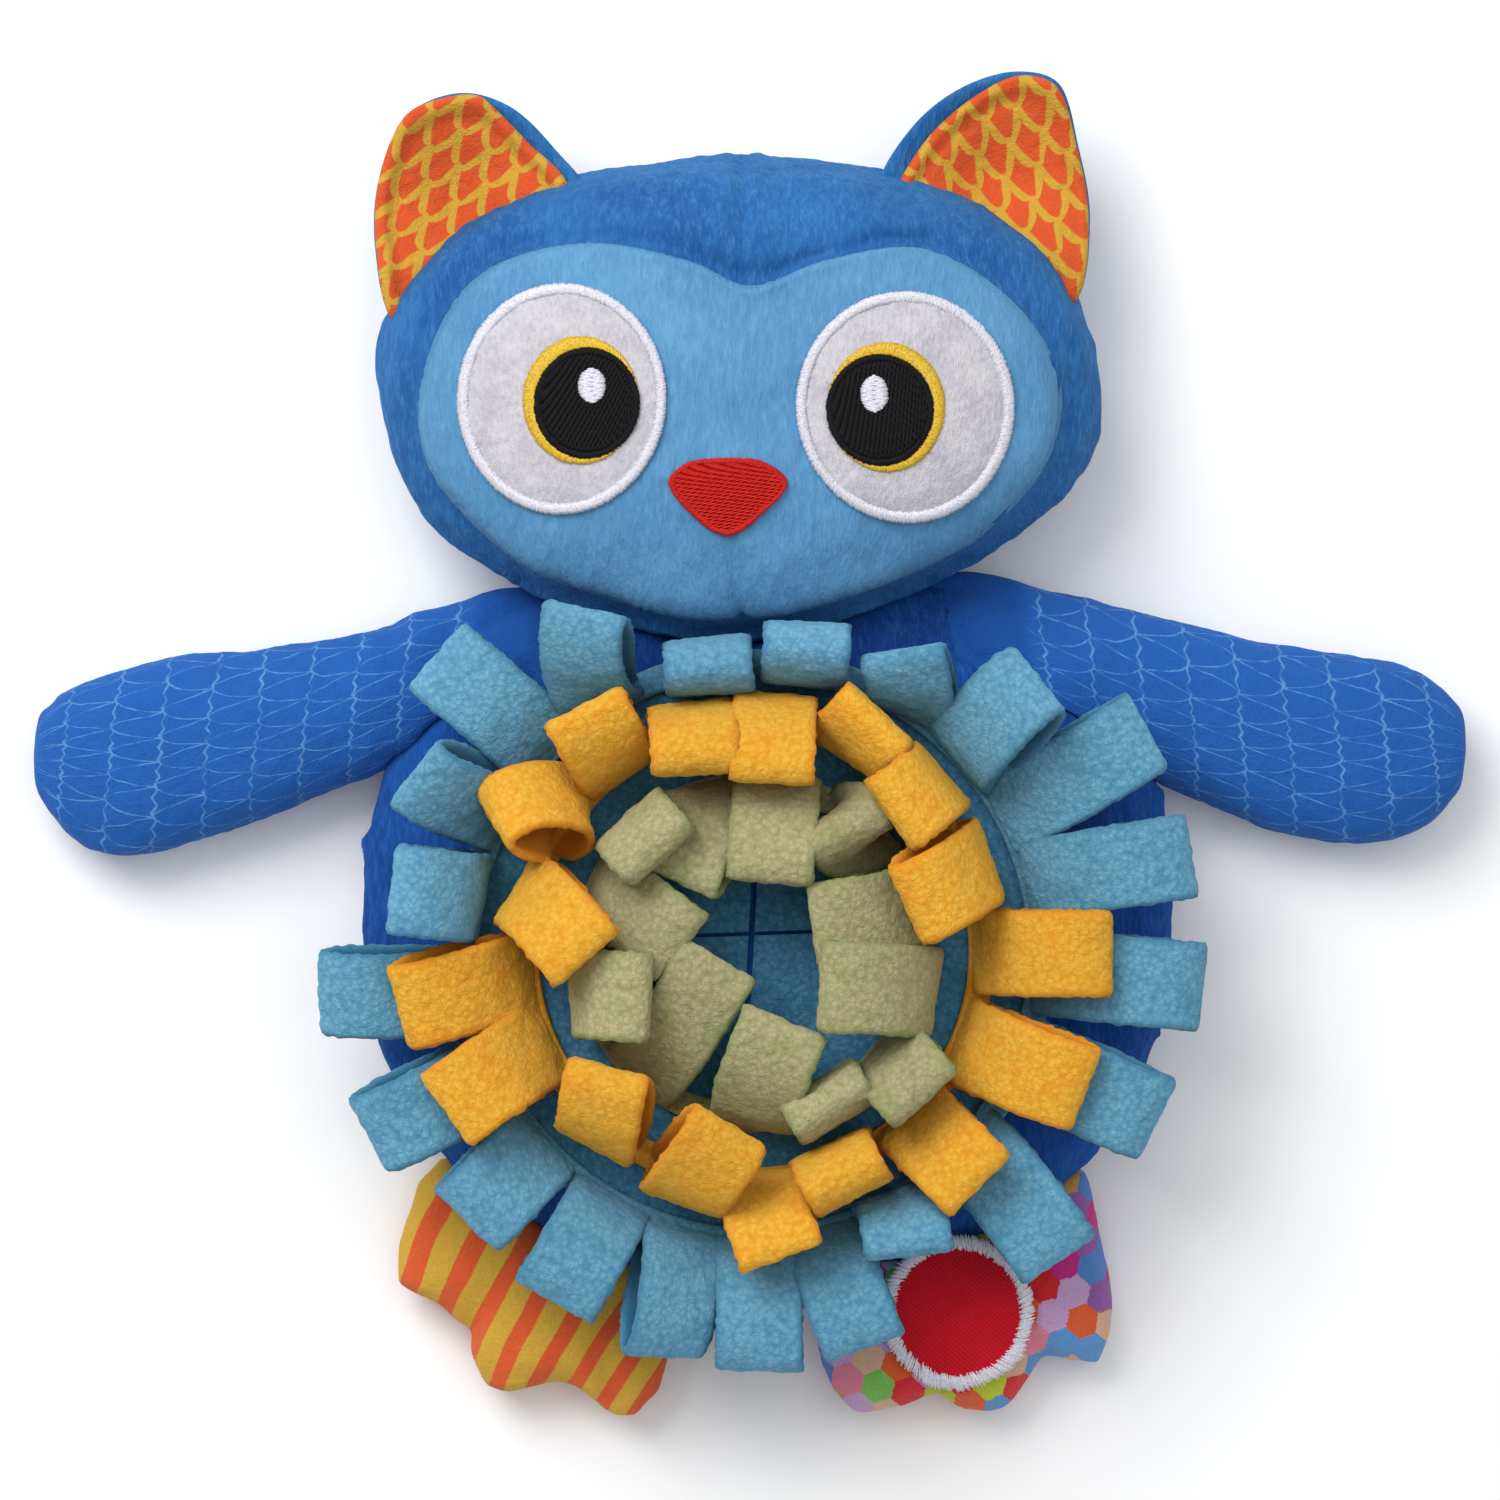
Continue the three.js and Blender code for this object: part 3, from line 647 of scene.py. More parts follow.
def drop_net(finish, along, across, zigzag=0.0):
    """How far a point is from the lines between interlocked drops, in shares of their width.
    The drops stand in columns one unit apart, each column half a unit beside the next, and
    zigzag adds a line between the columns."""
    notch = abs(finish.maths("FRACT", across * 2 + 0.25) - 0.5) * 0.16
    moved = along + notch
    share = finish.maths("FRACT", moved)
    odd = finish.maths("FLOORED_MODULO", finish.maths("FLOOR", moved), 2.0)
    beside = abs(finish.maths("FRACT", across + odd * 0.5) - 0.5) * 2
    edge = finish.maths(
        "MINIMUM", abs(beside - share ** 0.45), abs(share - beside ** 2.2) * 1.8)
    if zigzag:
        ends = finish.maths("MINIMUM", share, 1 - share) * zigzag
        edge = finish.maths("MINIMUM", edge, ends)
    return edge


def ear_print(name, turn, *shades):
    """Velour printed with drops on a net of broad lines"""
    long = 6.3
    wide = 6.9
    fill, line, light = map(colour, shades)
    finish, at, fuzz = start_velour(name)
    along, across, _ = finish.parts(finish.place(turn))
    wander = finish.clouds(at, 7.0, 2.0) * 0.25
    inside = drop_net(finish, along / long + wander + 50, across / wide + wander + 50)
    printed = finish.step(inside + (fuzz - 0.5) * 0.2, 0.18, 0.32)
    return printed_velour(finish, finish.blend(printed, line, fill), fuzz, at, light)


def arm_print(name, *shades):
    """Velour printed with a net of thin lines, and plain where the arm meets the body"""
    long = 10.1
    wide = 7.4
    fill, line, light, plain = map(colour, shades)
    finish, at, fuzz = start_velour(name)
    out = finish.kept("along")
    wander = finish.clouds(at, 9.0, 2.0) * 0.22
    inside = drop_net(
        finish, 50 - out / long + wander, finish.kept("around") / wide + wander + 50, 1.5)
    faded = finish.step(finish.clouds(at, 3.0, 2.0), 0.35, 0.75) * 0.75
    printed = finish.step(inside + (fuzz - 0.5) * 0.1, 0.0, 0.075)
    printed = finish.limit(printed + faded + finish.step(out, 62.0, 56.0))
    shown = finish.blend(printed, line, fill)
    shown = finish.blend(finish.step(out, 56.0, 61.0), plain, shown)
    return printed_velour(finish, shown, fuzz, at, light)


def striped_print(name, *shades):
    """Velour with slanting stripes, steeper to the left and flatter to the right"""
    pitch = 8.3
    stripe, ground, light = map(colour, shades)
    finish, at, fuzz = start_velour(name)
    x, y, _ = finish.parts(at)
    fan_out = (x + 45) * (y + 115) * -0.007
    across = x * 0.87 - y * 0.5 + fan_out + finish.clouds(at, 20.0, 1.0) * 2.5
    wave = finish.maths("FRACT", across / pitch + 20)
    edge = abs(wave - 0.5) + (fuzz - 0.5) * 0.05
    shown = finish.blend(finish.step(edge, 0.205, 0.24), stripe, ground)
    return printed_velour(finish, shown, fuzz, at, light)


def hexagon_print(name, light, palette):
    """Short velour with small six-sided patches in many colours"""
    pitch = 6.5
    finish, at, fuzz = start_velour(name)
    x, y, _ = finish.parts(finish.place(12))
    wander = finish.clouds(at, 8.0, 1.0) * 1.4 + finish.clouds(at, 0.9, 2.0) * 1.0
    point = finish.combine((x + wander) / pitch + 100, (y - wander) / pitch + 100)
    spacing = (1.0, math.sqrt(3), 1.0)
    half = (0.5, math.sqrt(3) / 2, 0.0)

    def from_cell_middle(moved):
        return finish.vector("SUBTRACT", finish.vector("MODULO", moved, spacing), half)

    first = from_cell_middle(point)
    second = from_cell_middle(finish.vector("SUBTRACT", point, half))
    first_away, second_away = (
        finish.value("ShaderNodeVectorMath", {"operation": "LENGTH"}, {0: each}, "Value")
        for each in (first, second))
    nearer = finish.value(
        "ShaderNodeMix", {"data_type": "VECTOR"},
        {0: first_away < second_away, 4: second, 5: first}, 1)
    cell = finish.vector("MULTIPLY", finish.vector("SUBTRACT", point, nearer),
                         (2.0, 2 / math.sqrt(3), 0.0))
    whole = finish.vector("FLOOR", finish.vector("ADD", cell, (0.5, 0.5, 0.0)))
    pick = finish.value("ShaderNodeTexWhiteNoise", None, {"Vector": whole}, "Value")
    stops = [(k / len(palette), colour(each)) for k, each in enumerate(palette)]
    shown = finish.value("ShaderNodeValToRGB", {"stops": stops}, {0: pick}, "Color")
    return printed_velour(finish, shown, fuzz, at, colour(light))


def thread(name, *shades, rough=0.42, gloss=0.5):
    """Embroidery thread with a fine twist"""
    base, light, dark = map(colour, shades)
    finish = Finish(name)
    at = finish.place()
    tone = finish.blend(finish.step(finish.clouds(at, 0.45, 1.0), 0.25, 0.6), dark, base)
    twist = finish.clouds(finish.place(30, (1, 0.3, 1)), 0.18, 1.0)
    # Painted highlights along the twist of the thread, in the light colour
    tone = finish.blend(finish.step(twist, 0.55, 0.8) * 0.6, tone, light)
    return finish.cloth(tone, rough, 0.1, light, finish.bump(twist, 0.06), gloss)


def twill(name, *shades):
    """Fine cloth with slanting ribs"""
    base, dark = map(colour, shades)
    finish = Finish(name)
    at = finish.place()
    x, y, _ = finish.parts(at)
    ribs = finish.maths("SINE", (x + y * 1.15) * 5.2) * 0.5 + 0.5
    weft = finish.maths("SINE", (x - y * 0.85) * 7.0) * 0.5 + 0.5
    weave = ribs * 0.7 + weft * 0.3
    wear = finish.clouds(at, 5.0, 3.0)
    tone = finish.blend(finish.limit(weave * 0.6 + wear * 0.5), dark, base)
    return finish.cloth(tone, 0.75, 0.1, base, finish.bump(weave, 0.2))


def white_nap(name, *shades):
    """Short white velour of the eyes"""
    lit, dim, light = map(colour, shades)
    finish = Finish(name)
    fuzz = finish.clouds(finish.place(20, (1, 0.5, 1)), 0.8, 4.0, 0.7)
    cloud = finish.clouds(finish.place(), 7.0, 2.0)
    tone = finish.blend(finish.step(fuzz * 0.6 + cloud * 0.4, 0.35, 0.62), dim, lit)
    return finish.cloth(tone, 0.9, 0.2, light, finish.bump(fuzz, 0.55))


def floor_finish():
    finish = Finish("pale_floor")
    surface = finish.value("ShaderNodeBsdfPrincipled", None, {
        "Base Color": (0.96, 0.96, 0.96, 1), "Roughness": 0.9, "Specular IOR Level": 0.1})
    finish.node("ShaderNodeOutputMaterial", None, {"Surface": surface})
    return finish.material


# Padded pieces

def copy_of_node(name, source):
    """A piece of its own with a node's mesh, its doubles merged"""
    piece = source.copy()
    piece.data = source.data.copy()
    piece.parent = None
    piece.name = name
    piece.data.name = name
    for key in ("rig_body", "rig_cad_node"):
        if key in piece:
            del piece[key]
    bpy.context.scene.collection.objects.link(piece)
    make_active(piece)
    edit_whole(bpy.ops.mesh.remove_doubles, threshold=0.01 * METRES)
    return piece


def stuffed(name, node, relief, voxel, shrink, most_move):
    """A padded piece from a node's shape: drawn in, blown up as cloth with a cap on how far each
    point moves, made finer, given its creases and pile by relief, and brought to the node's size"""
    source = frame["nodes"][node]
    piece = copy_of_node(name, source)
    remesh = piece.modifiers.new("Even", "REMESH")
    remesh.mode = "VOXEL"
    remesh.voxel_size = voxel * METRES
    apply_all(piece)
    edit_whole(bpy.ops.transform.shrink_fatten, value=-shrink * METRES)
    blow_up(piece, most_move)
    finer = piece.modifiers.new("Finer", "SUBSURF")
    finer.levels = 2
    finer.render_levels = 2
    apply_all(piece)
    smooth = [(vertex, vertex.co.copy(), vertex.normal.copy()) for vertex in piece.data.vertices]
    for vertex, spot, normal in smooth:
        moved = spot + normal * relief(spot / METRES - FRAME_SHIFT, normal) * METRES
        moved.z = max(moved.z, 0.0)
        vertex.co = moved
    fill_box(piece, source)
    piece.data.shade_smooth()
    piece.data.update()
    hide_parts(node)
    return piece


def fill_box(piece, source):
    """Stretches a padded piece a little, so that it is as long and as wide as its node"""
    for axis in (0, 1):
        wanted = [(source.matrix_world @ vertex.co)[axis] for vertex in source.data.vertices]
        found = [vertex.co[axis] for vertex in piece.data.vertices]
        low = min(found)
        stretch = (max(wanted) - min(wanted)) / (max(found) - low)
        for vertex in piece.data.vertices:
            vertex.co[axis] = min(wanted) + (vertex.co[axis] - low) * stretch


def blow_up(piece, most_move):
    """Swells a closed piece with cloth pressure, and caps how far its points move"""
    before = [vertex.co.copy() for vertex in piece.data.vertices]
    cloth = piece.modifiers.new("Stuffing", "CLOTH")
    settings = cloth.settings
    settings.use_pressure = True
    settings.uniform_pressure_force = 4.0
    settings.quality = 4
    settings.mass = 0.2
    settings.tension_stiffness = 12
    settings.compression_stiffness = 12
    settings.effector_weights.gravity = 0.0
    cloth.collision_settings.use_collision = False
    scene = bpy.context.scene
    for number in range(1, 21):
        scene.frame_set(number)
    apply_all(piece)
    scene.frame_set(1)
    for vertex, start in zip(piece.data.vertices, before):
        move = vertex.co - start
        if move.length > most_move * METRES:
            vertex.co = start + move.normalized() * most_move * METRES


def pile(point, seed=0.0):
    """Small uneven tufts of short plush"""
    combed = Vector((point[0], point[1] * 0.45, point[2]))
    return 0.3 * grain(combed, 1.9, seed) + 0.35 * grain(point, 6.0, seed + 5)


def groove(distance, wide, deep):
    return -deep * hump(distance, wide)


def head_relief(point, normal):
    dx = point[0] - HEAD_CENTRE[0]
    dy = point[1] - HEAD_CENTRE[1]
    angle = math.atan2(dy, dx)
    from_face = math.hypot(dx, dy) - face_reach(angle)
    front = 1.0 if normal.z > 0.2 else 0.0
    amount = pile(point) + 0.8 * grain(point, 16.0, 3)
    amount += front * groove(from_face, 2.4, 1.6)
    if point[1] > 90 and front:
        seam, _ = distance_to_line(point[0], point[1], (-2, 126), (-1, 96))
        amount += groove(seam, 1.3, 0.9) + 0.5 * hump(seam - 3, 2.5)
    return amount


def body_relief(point, normal):
    amount = pile(point, 7) + 0.8 * grain(point, 14.0, 8)
    seam = abs(point[2] - BODY_SEAM)
    if abs(normal.z) < 0.6:
        amount += groove(seam, 1.6, 1.2)
    return amount


def arm_relief(point, normal):
    side = abs(point[0])
    shoulder = within((84 - side) / 30)
    folds = math.sin(side * 0.55 + 2.5 * grain(point, 18.0, 13))
    return 0.7 * pile(point, 11) + 0.5 * grain(point, 13.0, 12) + shoulder * 0.6 * folds


def foot_relief(side):
    def relief(point, normal):
        amount = 0.7 * pile(point, 21) + 0.5 * grain(point, 10.0, 22)
        for start, end in TOE_CREASES[side]:
            away, share = distance_to_line(point[0], point[1], start, end)
            amount += groove(away, 2.6, 1.8 * (1 - share))
        if abs(normal.z) < 0.6:
            amount += groove(abs(point[2] - FOOT_SEAM), 1.2, 0.8)
        return amount

    return relief


def sew_to_body(piece, side):
    """Draws the inner end of an arm up to the neck, and lets it sink towards the body plush
    as at its sewn seam"""
    drawn_in = 14.0
    drawn_up = 3.0
    free_beyond = 72.0
    drawn_within = 46.0
    over_plush = 2.4
    sinks_by = 6.5
    lowest = 17.0
    for vertex in piece.data.vertices:
        point = vertex.co / METRES - FRAME_SHIFT
        share = within((free_beyond - abs(point.x)) / (free_beyond - drawn_within))
        share = share * share * (3 - 2 * share)
        point.x -= side * drawn_in * share
        point.y += drawn_up * share
        sunk = within((drawn_within - abs(point.x)) / 12)
        height = max(on_body(point.x, point.y).z + over_plush - sinks_by * sunk, lowest)
        if point.z > height:
            point.z += (height - point.z) * share
        vertex.co = place(point)
    piece.data.update()


def arm_lengths(piece, side):
    """Keeps each point's place along the arm and around it, for its print"""
    arm_radius = 19.0
    mid_height = 13.0
    along = []
    around = []
    for vertex in piece.data.vertices:
        x, y, z = vertex.co / METRES - FRAME_SHIFT
        middle = 20 * within((130 - abs(x)) / 80) ** 1.6 - 1.5
        out = math.hypot(y - middle, z - mid_height)
        cosine = within((y - middle) / max(out, 0.01), -1, 1)
        along.append(side * x + (y - middle) * 0.1)
        around.append(arm_radius * math.acos(cosine))
    keep_numbers(piece, "along", along)
    keep_numbers(piece, "around", around)


def make_padded_pieces(finishes):
    head = stuffed("crown_plush", "head", head_relief, voxel=4.0, shrink=1.2, most_move=1.2)
    fix_to_toy(head, finishes["crown"], "crown_plush")
    body = stuffed("body_plush", "body", body_relief, voxel=5.0, shrink=1.2, most_move=1.2)
    fix_to_toy(body, finishes["body"], "body_plush")
    for side, sign, print_slot in (("left", -1, "striped_print"), ("right", 1, "hexagon_print")):
        arm = stuffed(
            f"arm_{side}_plush", "arm_" + side, arm_relief, voxel=4.0, shrink=1.4, most_move=1.8)
        sew_to_body(arm, sign)
        arm_lengths(arm, sign)
        fix_to_toy(arm, finishes["arm"], "arm_print")
        foot = stuffed(
            f"foot_{side}_plush", "foot_" + side, foot_relief(side), voxel=4.0, shrink=1.2,
            most_move=1.4)
        fix_to_toy(foot, finishes["foot_" + side], print_slot)


# Sheets of cloth

def cloth_layer(name, centre, reach, surface, bottom, top, corners, rings, shape=None):
    """A closed sheet that follows a surface from bottom to top, fine over and coarser below.
    shape adds to the upper side's height from a point and its share of the way out."""
    under_rings = 6
    thick = top - bottom
    points = []
    rows = []

    def ring(share, lift, over):
        numbers = []
        for i in range(corners):
            angle = math.tau * i / corners
            far = share * reach(angle)
            x = centre[0] + far * math.cos(angle)
            y = centre[1] + far * math.sin(angle)
            extra = shape(x, y, share) if shape and over else 0.0
            numbers.append(len(points))
            points.append(surface(x, y, lift + extra))
        rows.append(numbers)

    for k in range(1, rings + 1):
        share = k / rings
        ring(share, top - thick * 0.45 * share ** 40, True)
    for k in range(under_rings, 0, -1):
        share = k / under_rings
        ring(share * 0.998, bottom + thick * 0.1 * share ** 12, False)
    extra = shape(*centre, 0.0) if shape else 0.0
    middles = (surface(*centre, top + extra), surface(*centre, bottom))
    faces = join_rings(rows)
    faces += fan(len(points), rows[0], flip=False)
    faces += fan(len(points) + 1, rows[-1], flip=True)
    return piece_from(name, [*points, *middles], faces)


def flat_size(reach):
    """Width, length and area in metres of a cut piece, from its outline"""
    points = []
    for i in range(360):
        angle = math.radians(i)
        points.append((reach(angle) * math.cos(angle), reach(angle) * math.sin(angle)))
    xs = [x for x, _ in points]
    ys = [y for _, y in points]
    area = sum(a[0] * b[1] - b[0] * a[1] for a, b in zip(points, points[1:] + points[:1])) / 2
    return ((max(xs) - min(xs)) * METRES, (max(ys) - min(ys)) * METRES), abs(area) * METRES ** 2


def declare_sheet(reach):
    size, area = flat_size(reach)


def face_shape(x, y, share):
    """The face panel's relief: it rolls down into its seam, with a dart at the chin"""
    amount = 0.5 + pile((x, y, 0), 31) + 0.5 * grain((x, y, 0), 15.0, 32)
    edge = (1 - share) * 68
    amount -= 2.3 * hump(edge, 2.6)
    amount += 0.5 * hump(edge - 6, 4.0)
    dart, along = distance_to_line(x, y, (-4.6, 45), (-1, 24))
    amount += groove(dart, 1.4, 1.5 * min(1, 0.3 + along))
    return amount


def make_face(finishes):
    def under_crown_pile(angle):
        """The panel's reach, ragged where the crown's pile lies over its seam"""
        ragged = 0.45 * grain((angle * 60, 0, 0), 1.0, 5)
        return face_reach(angle) - 0.3 + ragged

    panel = cloth_layer(
        "face_plush", HEAD_CENTRE, under_crown_pile, on_head, bottom=-1.7, top=0.3, corners=360,
        rings=74, shape=face_shape)
    fix_to_toy(panel, finishes["face"], "face_plush")
    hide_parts("face_panel")
    declare_sheet(face_reach)


def ear_surface(root, tip, hollow):
    """The cupped surface of an ear. hollow gives the x, y, depth and reach of its deepest part."""
    along = Vector((tip[0] - root[0], tip[1] - root[1]))
    long = along.length
    along.normalize()

    def surface(x, y, lift=0.0):
        out = ((x - root[0]) * along.x + (y - root[1]) * along.y) / long
        side = ((x - root[0]) * -along.y + (y - root[1]) * along.x) / long
        dip = 5 * math.sin(math.pi * within(out))
        height = HEAD_SEAM + 2 + 4 * out + 12 * side * side - dip
        height -= hollow[2] * hump(math.hypot(x - hollow[0], y - hollow[1]), hollow[3])
        return Vector((x, y, height + lift))

    return surface


def ear_shape(x, y, share):
    edge = (1 - share) * 24
    return (0.25 * grain((x, y, 0), 2.2, 41) + 0.5 * grain((x, y, 0), 7.0, 42)
            + 0.9 * hump(edge - 2.2, 1.6) - 0.5 * hump(edge - 5.0, 1.8))


def make_ears(finishes):
    ears = {
        "left": (EAR_LEFT_OUTLINE, PRINT_LEFT_OUTLINE, (-57, 103), (-64, 134), (-60, 112, 2.0, 9)),
        "right": (EAR_RIGHT_OUTLINE, PRINT_RIGHT_OUTLINE, (50, 107), (58, 139), (50, 118, 3.5, 7)),
    }
    for side, (whole, printed, root, tip, hollow) in ears.items():
        surface = ear_surface(root, tip, hollow)
        for label, outline, bottom, top, shape, finish, slot in (
                ("back", whole, -2.0, 0.3, None, "crown", "crown_plush"),
                ("front", printed, 0.5, 2.9, ear_shape, "ear_" + side, "ear_print")):
            centre = middle_of(outline)
            reach = reach_of(outline, centre)
            layer = cloth_layer(
                f"ear_{side}_{label}_cloth", centre, reach, surface, bottom, top, corners=150,
                rings=28, shape=shape)
            fix_to_toy(layer, finishes[finish], slot)
            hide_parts(f"ear_{side}_{label}")
            declare_sheet(reach)


def fleece_nubs(point, seed):
    return 0.3 * grain(point, 1.4, seed) + 0.28 * grain(point, 3.0, seed + 1)


def cut_slit(sheet, turn, wide):
    deselect_all()
    bpy.ops.mesh.primitive_cube_add(
        size=METRES, location=place(SLIT_CROSSING), rotation=(0, 0, math.radians(turn)),
        scale=(SLIT_LONG, wide, SLIT_DEEP))
    cutter = bpy.context.active_object
    slit = sheet.modifiers.new("Slit", "BOOLEAN")
    slit.operation = "DIFFERENCE"
    slit.object = cutter
    apply_all(sheet)
    bpy.data.objects.remove(cutter)


def make_base(finishes):
    def shape(x, y, share):
        return fleece_nubs((x, y, 0), 51)

    reach = round_reach(BASE_RADIUS, BASE_RADIUS)
    sheet = cloth_layer(
        "snuffle_base_fleece", RING_CENTRE, reach, on_body, bottom=REST_GAP,
        top=REST_GAP + SHEET_THICK, corners=220, rings=60, shape=shape)
    for turn, wide in SLITS:
        cut_slit(sheet, turn, wide)
    count = len(sheet.data.vertices)
    keep_numbers(sheet, "nap", [1.0] * count)
    keep_numbers(sheet, "tone", [0.3] * count)
    sheet.data.shade_smooth()
    fix_to_toy(sheet, finishes["base_fleece"], "base_fleece")
    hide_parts("snuffle_base")
    declare_sheet(reach)


# Fleece loops

class Fleece:
    """The growing mesh of a ring of loops. nap is 1 on the curly side and 0 on the back, and tone
    is the shade of each strip."""

    def __init__(self):
        self.points = []
        self.faces = []
        self.nap = []
        self.tone = []

    def add(self, point, nap, tone):
        """Adds a point and gives its number"""
        self.points.append(point)
        self.nap.append(nap)
        self.tone.append(tone)
        return len(self.points) - 1

    def make_piece(self, name):
        piece = piece_from(name, self.points, self.faces)
        keep_numbers(piece, "nap", self.nap)
        keep_numbers(piece, "tone", self.tone)
        return piece


def loop_path(ring_radius, row):
    """Where the middle of a loop's strip runs, as a function of the share of its length"""
    root_x = RING_CENTRE[0] + ring_radius * math.cos(math.radians(row["at"]))
    root_y = RING_CENTRE[1] + ring_radius * math.sin(math.radians(row["at"]))

    def slope(share):
        return math.radians(row["rise"] + (row["fall"] - row["rise"]) * share)

    def turn(share):
        return math.radians(row["at"] + row["turn"] * share * (2 - share))

    def ahead(share):
        return Vector((math.cos(slope(share)) * math.cos(turn(share)),
                       math.cos(slope(share)) * math.sin(turn(share)),
                       math.sin(slope(share))))

    spine = [on_body(root_x, root_y, ROOT_LIFT)]
    for k in range(SPINE_STEPS):
        spine.append(spine[k] + ahead((k + 0.5) / SPINE_STEPS) * row["long"] / SPINE_STEPS)

    def spine_at(share):
        where = min(share * SPINE_STEPS, SPINE_STEPS - 1e-6)
        k = int(where)
        return spine[k].lerp(spine[k + 1], where - k)

    def across_at(share):
        flat = Vector((-math.sin(turn(share)), math.cos(turn(share)), 0))
        rolled = math.radians(row["roll"] * share * (2 - share))
        return Matrix.Rotation(rolled, 3, ahead(share)) @ flat

    def middle_at(step):
        share = (1 - math.cos(math.tau * step)) / 2
        belly = row["open"] * math.sin(math.tau * step) * math.sin(math.pi * step) ** 0.8
        apart = LEG_APART * math.cos(math.pi * step) + belly
        across = across_at(share)
        outwards = across.cross(ahead(share)).normalized()
        return spine_at(share) + outwards * apart, across

    return middle_at


def add_loop(fleece, ring_radius, row, seed, lengths, widths):
    """Adds one loop: a strip of fleece that leaves the band, bends over and comes back"""
    cut_edge = 0.14
    middle_at = loop_path(ring_radius, row)
    tone = random.random()
    wide = LOOP_WIDE * random.uniform(0.97, 1.05)
    sections = []
    for k in range(lengths + 1):
        step = k / lengths
        point, across = middle_at(step)
        before = middle_at(max(0.0, step - 0.01))[0]
        after = middle_at(min(1.0, step + 0.01))[0]
        face = across.cross((after - before).normalized()).normalized()
        numbers = []
        for over in (1, -1):
            curly = 1.0 if over > 0 else 0.0
            for i in range(widths):
                share = over * (1 - 2 * i / (widths - 1))
                edge = max(0.0, abs(share) - (1 - cut_edge)) / cut_edge
                half = SHEET_THICK / 2 * (1 - 0.45 * edge ** 2)
                along_edge = 0.8 * grain(point + across * share * 8, 1.9, seed) * edge
                side = share * wide / 2 + math.copysign(along_edge, share) * abs(share)
                spot = point + across * side + face * over * half
                spot += face * 0.7 * grain(point + across * share * 4, 11.0, seed + 2)
                nub = fleece_nubs(spot, seed) * (1.0 if over > 0 else 0.35)
                nap = curly * (1 - edge) + 0.35 * edge
                numbers.append(fleece.add(spot + face * over * nub, nap, tone))
        sections.append(numbers)
    fleece.faces += join_rings(sections)
    for numbers, flip in ((sections[0], False), (sections[-1], True)):
        middle = sum((fleece.points[number] for number in numbers), Vector()) / len(numbers)
        fleece.faces += fan(fleece.add(middle, 0.5, tone), numbers, flip)


def add_band(fleece, ring_radius, seed):
    """Adds the sewn band that a ring of loops shares"""
    middle_lift = REST_GAP + SHEET_THICK + BAND_GAP + BAND_THICK / 2
    steps = 200
    corners = 12

    def rounded(amount):
        """A sine or cosine drawn out to a rounded rectangle"""
        return math.copysign(abs(amount) ** 0.5, amount)

    sections = []
    for k in range(steps):
        angle = math.tau * k / steps
        numbers = []
        for i in range(corners):
            turn = math.tau * i / corners
            far = ring_radius + BAND_WIDE / 2 * rounded(math.cos(turn))
            up = BAND_THICK / 2 * rounded(math.sin(turn))
            x = RING_CENTRE[0] + far * math.cos(angle)
            y = RING_CENTRE[1] + far * math.sin(angle)
            lift = middle_lift + up + 0.3 * grain((x, y, up), 1.6, seed)
            numbers.append(fleece.add(on_body(x, y, lift), 0.8, 0.4))
        sections.append(numbers)
    fleece.faces += join_rings(sections, wraps=True)


def make_loops(finishes):
    rings = (
        ("outer", "blue", OUTER_LOOPS), ("middle", "yellow", MIDDLE_LOOPS),
        ("inner", "green", INNER_LOOPS),
    )
    lengths = 84
    widths = 21
    for number, (ring, shade, table) in enumerate(rings):
        fleece = Fleece()
        radius = RING_RADIUS[ring]
        rows = [dict(zip(LOOP_COLUMNS, row)) for row in table]
        for k, row in enumerate(rows):
            add_loop(fleece, radius, row, 60 + 40 * number + 1.7 * k, lengths, widths)
        add_band(fleece, radius, 60 + number)
        piece = fleece.make_piece(f"loops_{shade}_fleece")
        fix_to_toy(piece, finishes[shade], shade + "_fleece")
        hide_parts(*(node for node in frame["nodes"] if node.startswith("loops_" + ring)))
        long = math.tau * radius
        strips = 2 * sum(row["long"] for row in rows) * LOOP_WIDE
        flat = (long * METRES, (strips + long * BAND_WIDE) / long * METRES)


# Embroidery

def one_stitch(name, wide, high):
    """A single arched stitch along X, modelled once, copied and made longer"""
    deselect_all()
    bpy.ops.mesh.primitive_cylinder_add(
        vertices=6, radius=0.5, depth=1.0, end_fill_type="NGON", rotation=(0, math.pi / 2, 0))
    stitch = bpy.context.active_object
    stitch.name = name
    bpy.ops.object.transform_apply(location=False, rotation=True, scale=False)
    for cut in (-0.22, 0.22):
        edit_whole(bpy.ops.mesh.bisect, plane_co=(cut, 0, 0), plane_no=(1, 0, 0))
    for vertex in stitch.data.vertices:
        x, y, z = vertex.co
        if abs(x) > 0.4:
            y *= 0.6
            z = z * 0.5 - 0.5
        vertex.co = Vector((x, y * wide, z * high)) * METRES
    return stitch


def embroider(name, finish, slot, stitches, wide, high):
    """A piece made of many stitches, each given by its start, its end and the upward direction"""
    template = one_stitch(name + "_stitch", wide, high)
    copies = []
    for start, end, up in stitches:
        along = end - start
        copy = template.copy()
        copy.data = template.data.copy()
        bpy.context.scene.collection.objects.link(copy)
        ahead = along.normalized()
        side = up.cross(ahead).normalized()
        above = ahead.cross(side)
        middle = place((start + end) / 2)
        turned = Matrix((ahead, side, above)).transposed().to_4x4()
        longer = Matrix.Diagonal((along.length, 1, 1, 1))
        copy.matrix_world = Matrix.Translation(middle) @ turned @ longer
        copies.append(copy)
    bpy.data.objects.remove(template)
    make_active(copies[0])
    for copy in copies:
        copy.select_set(True)
    bpy.ops.object.join()
    piece = copies[0]
    bpy.ops.object.transform_apply(location=True, rotation=True, scale=True)
    piece.name = name
    piece.data.name = name
    piece.data.shade_smooth()
    fix_to_toy(piece, finish, slot)
    return piece


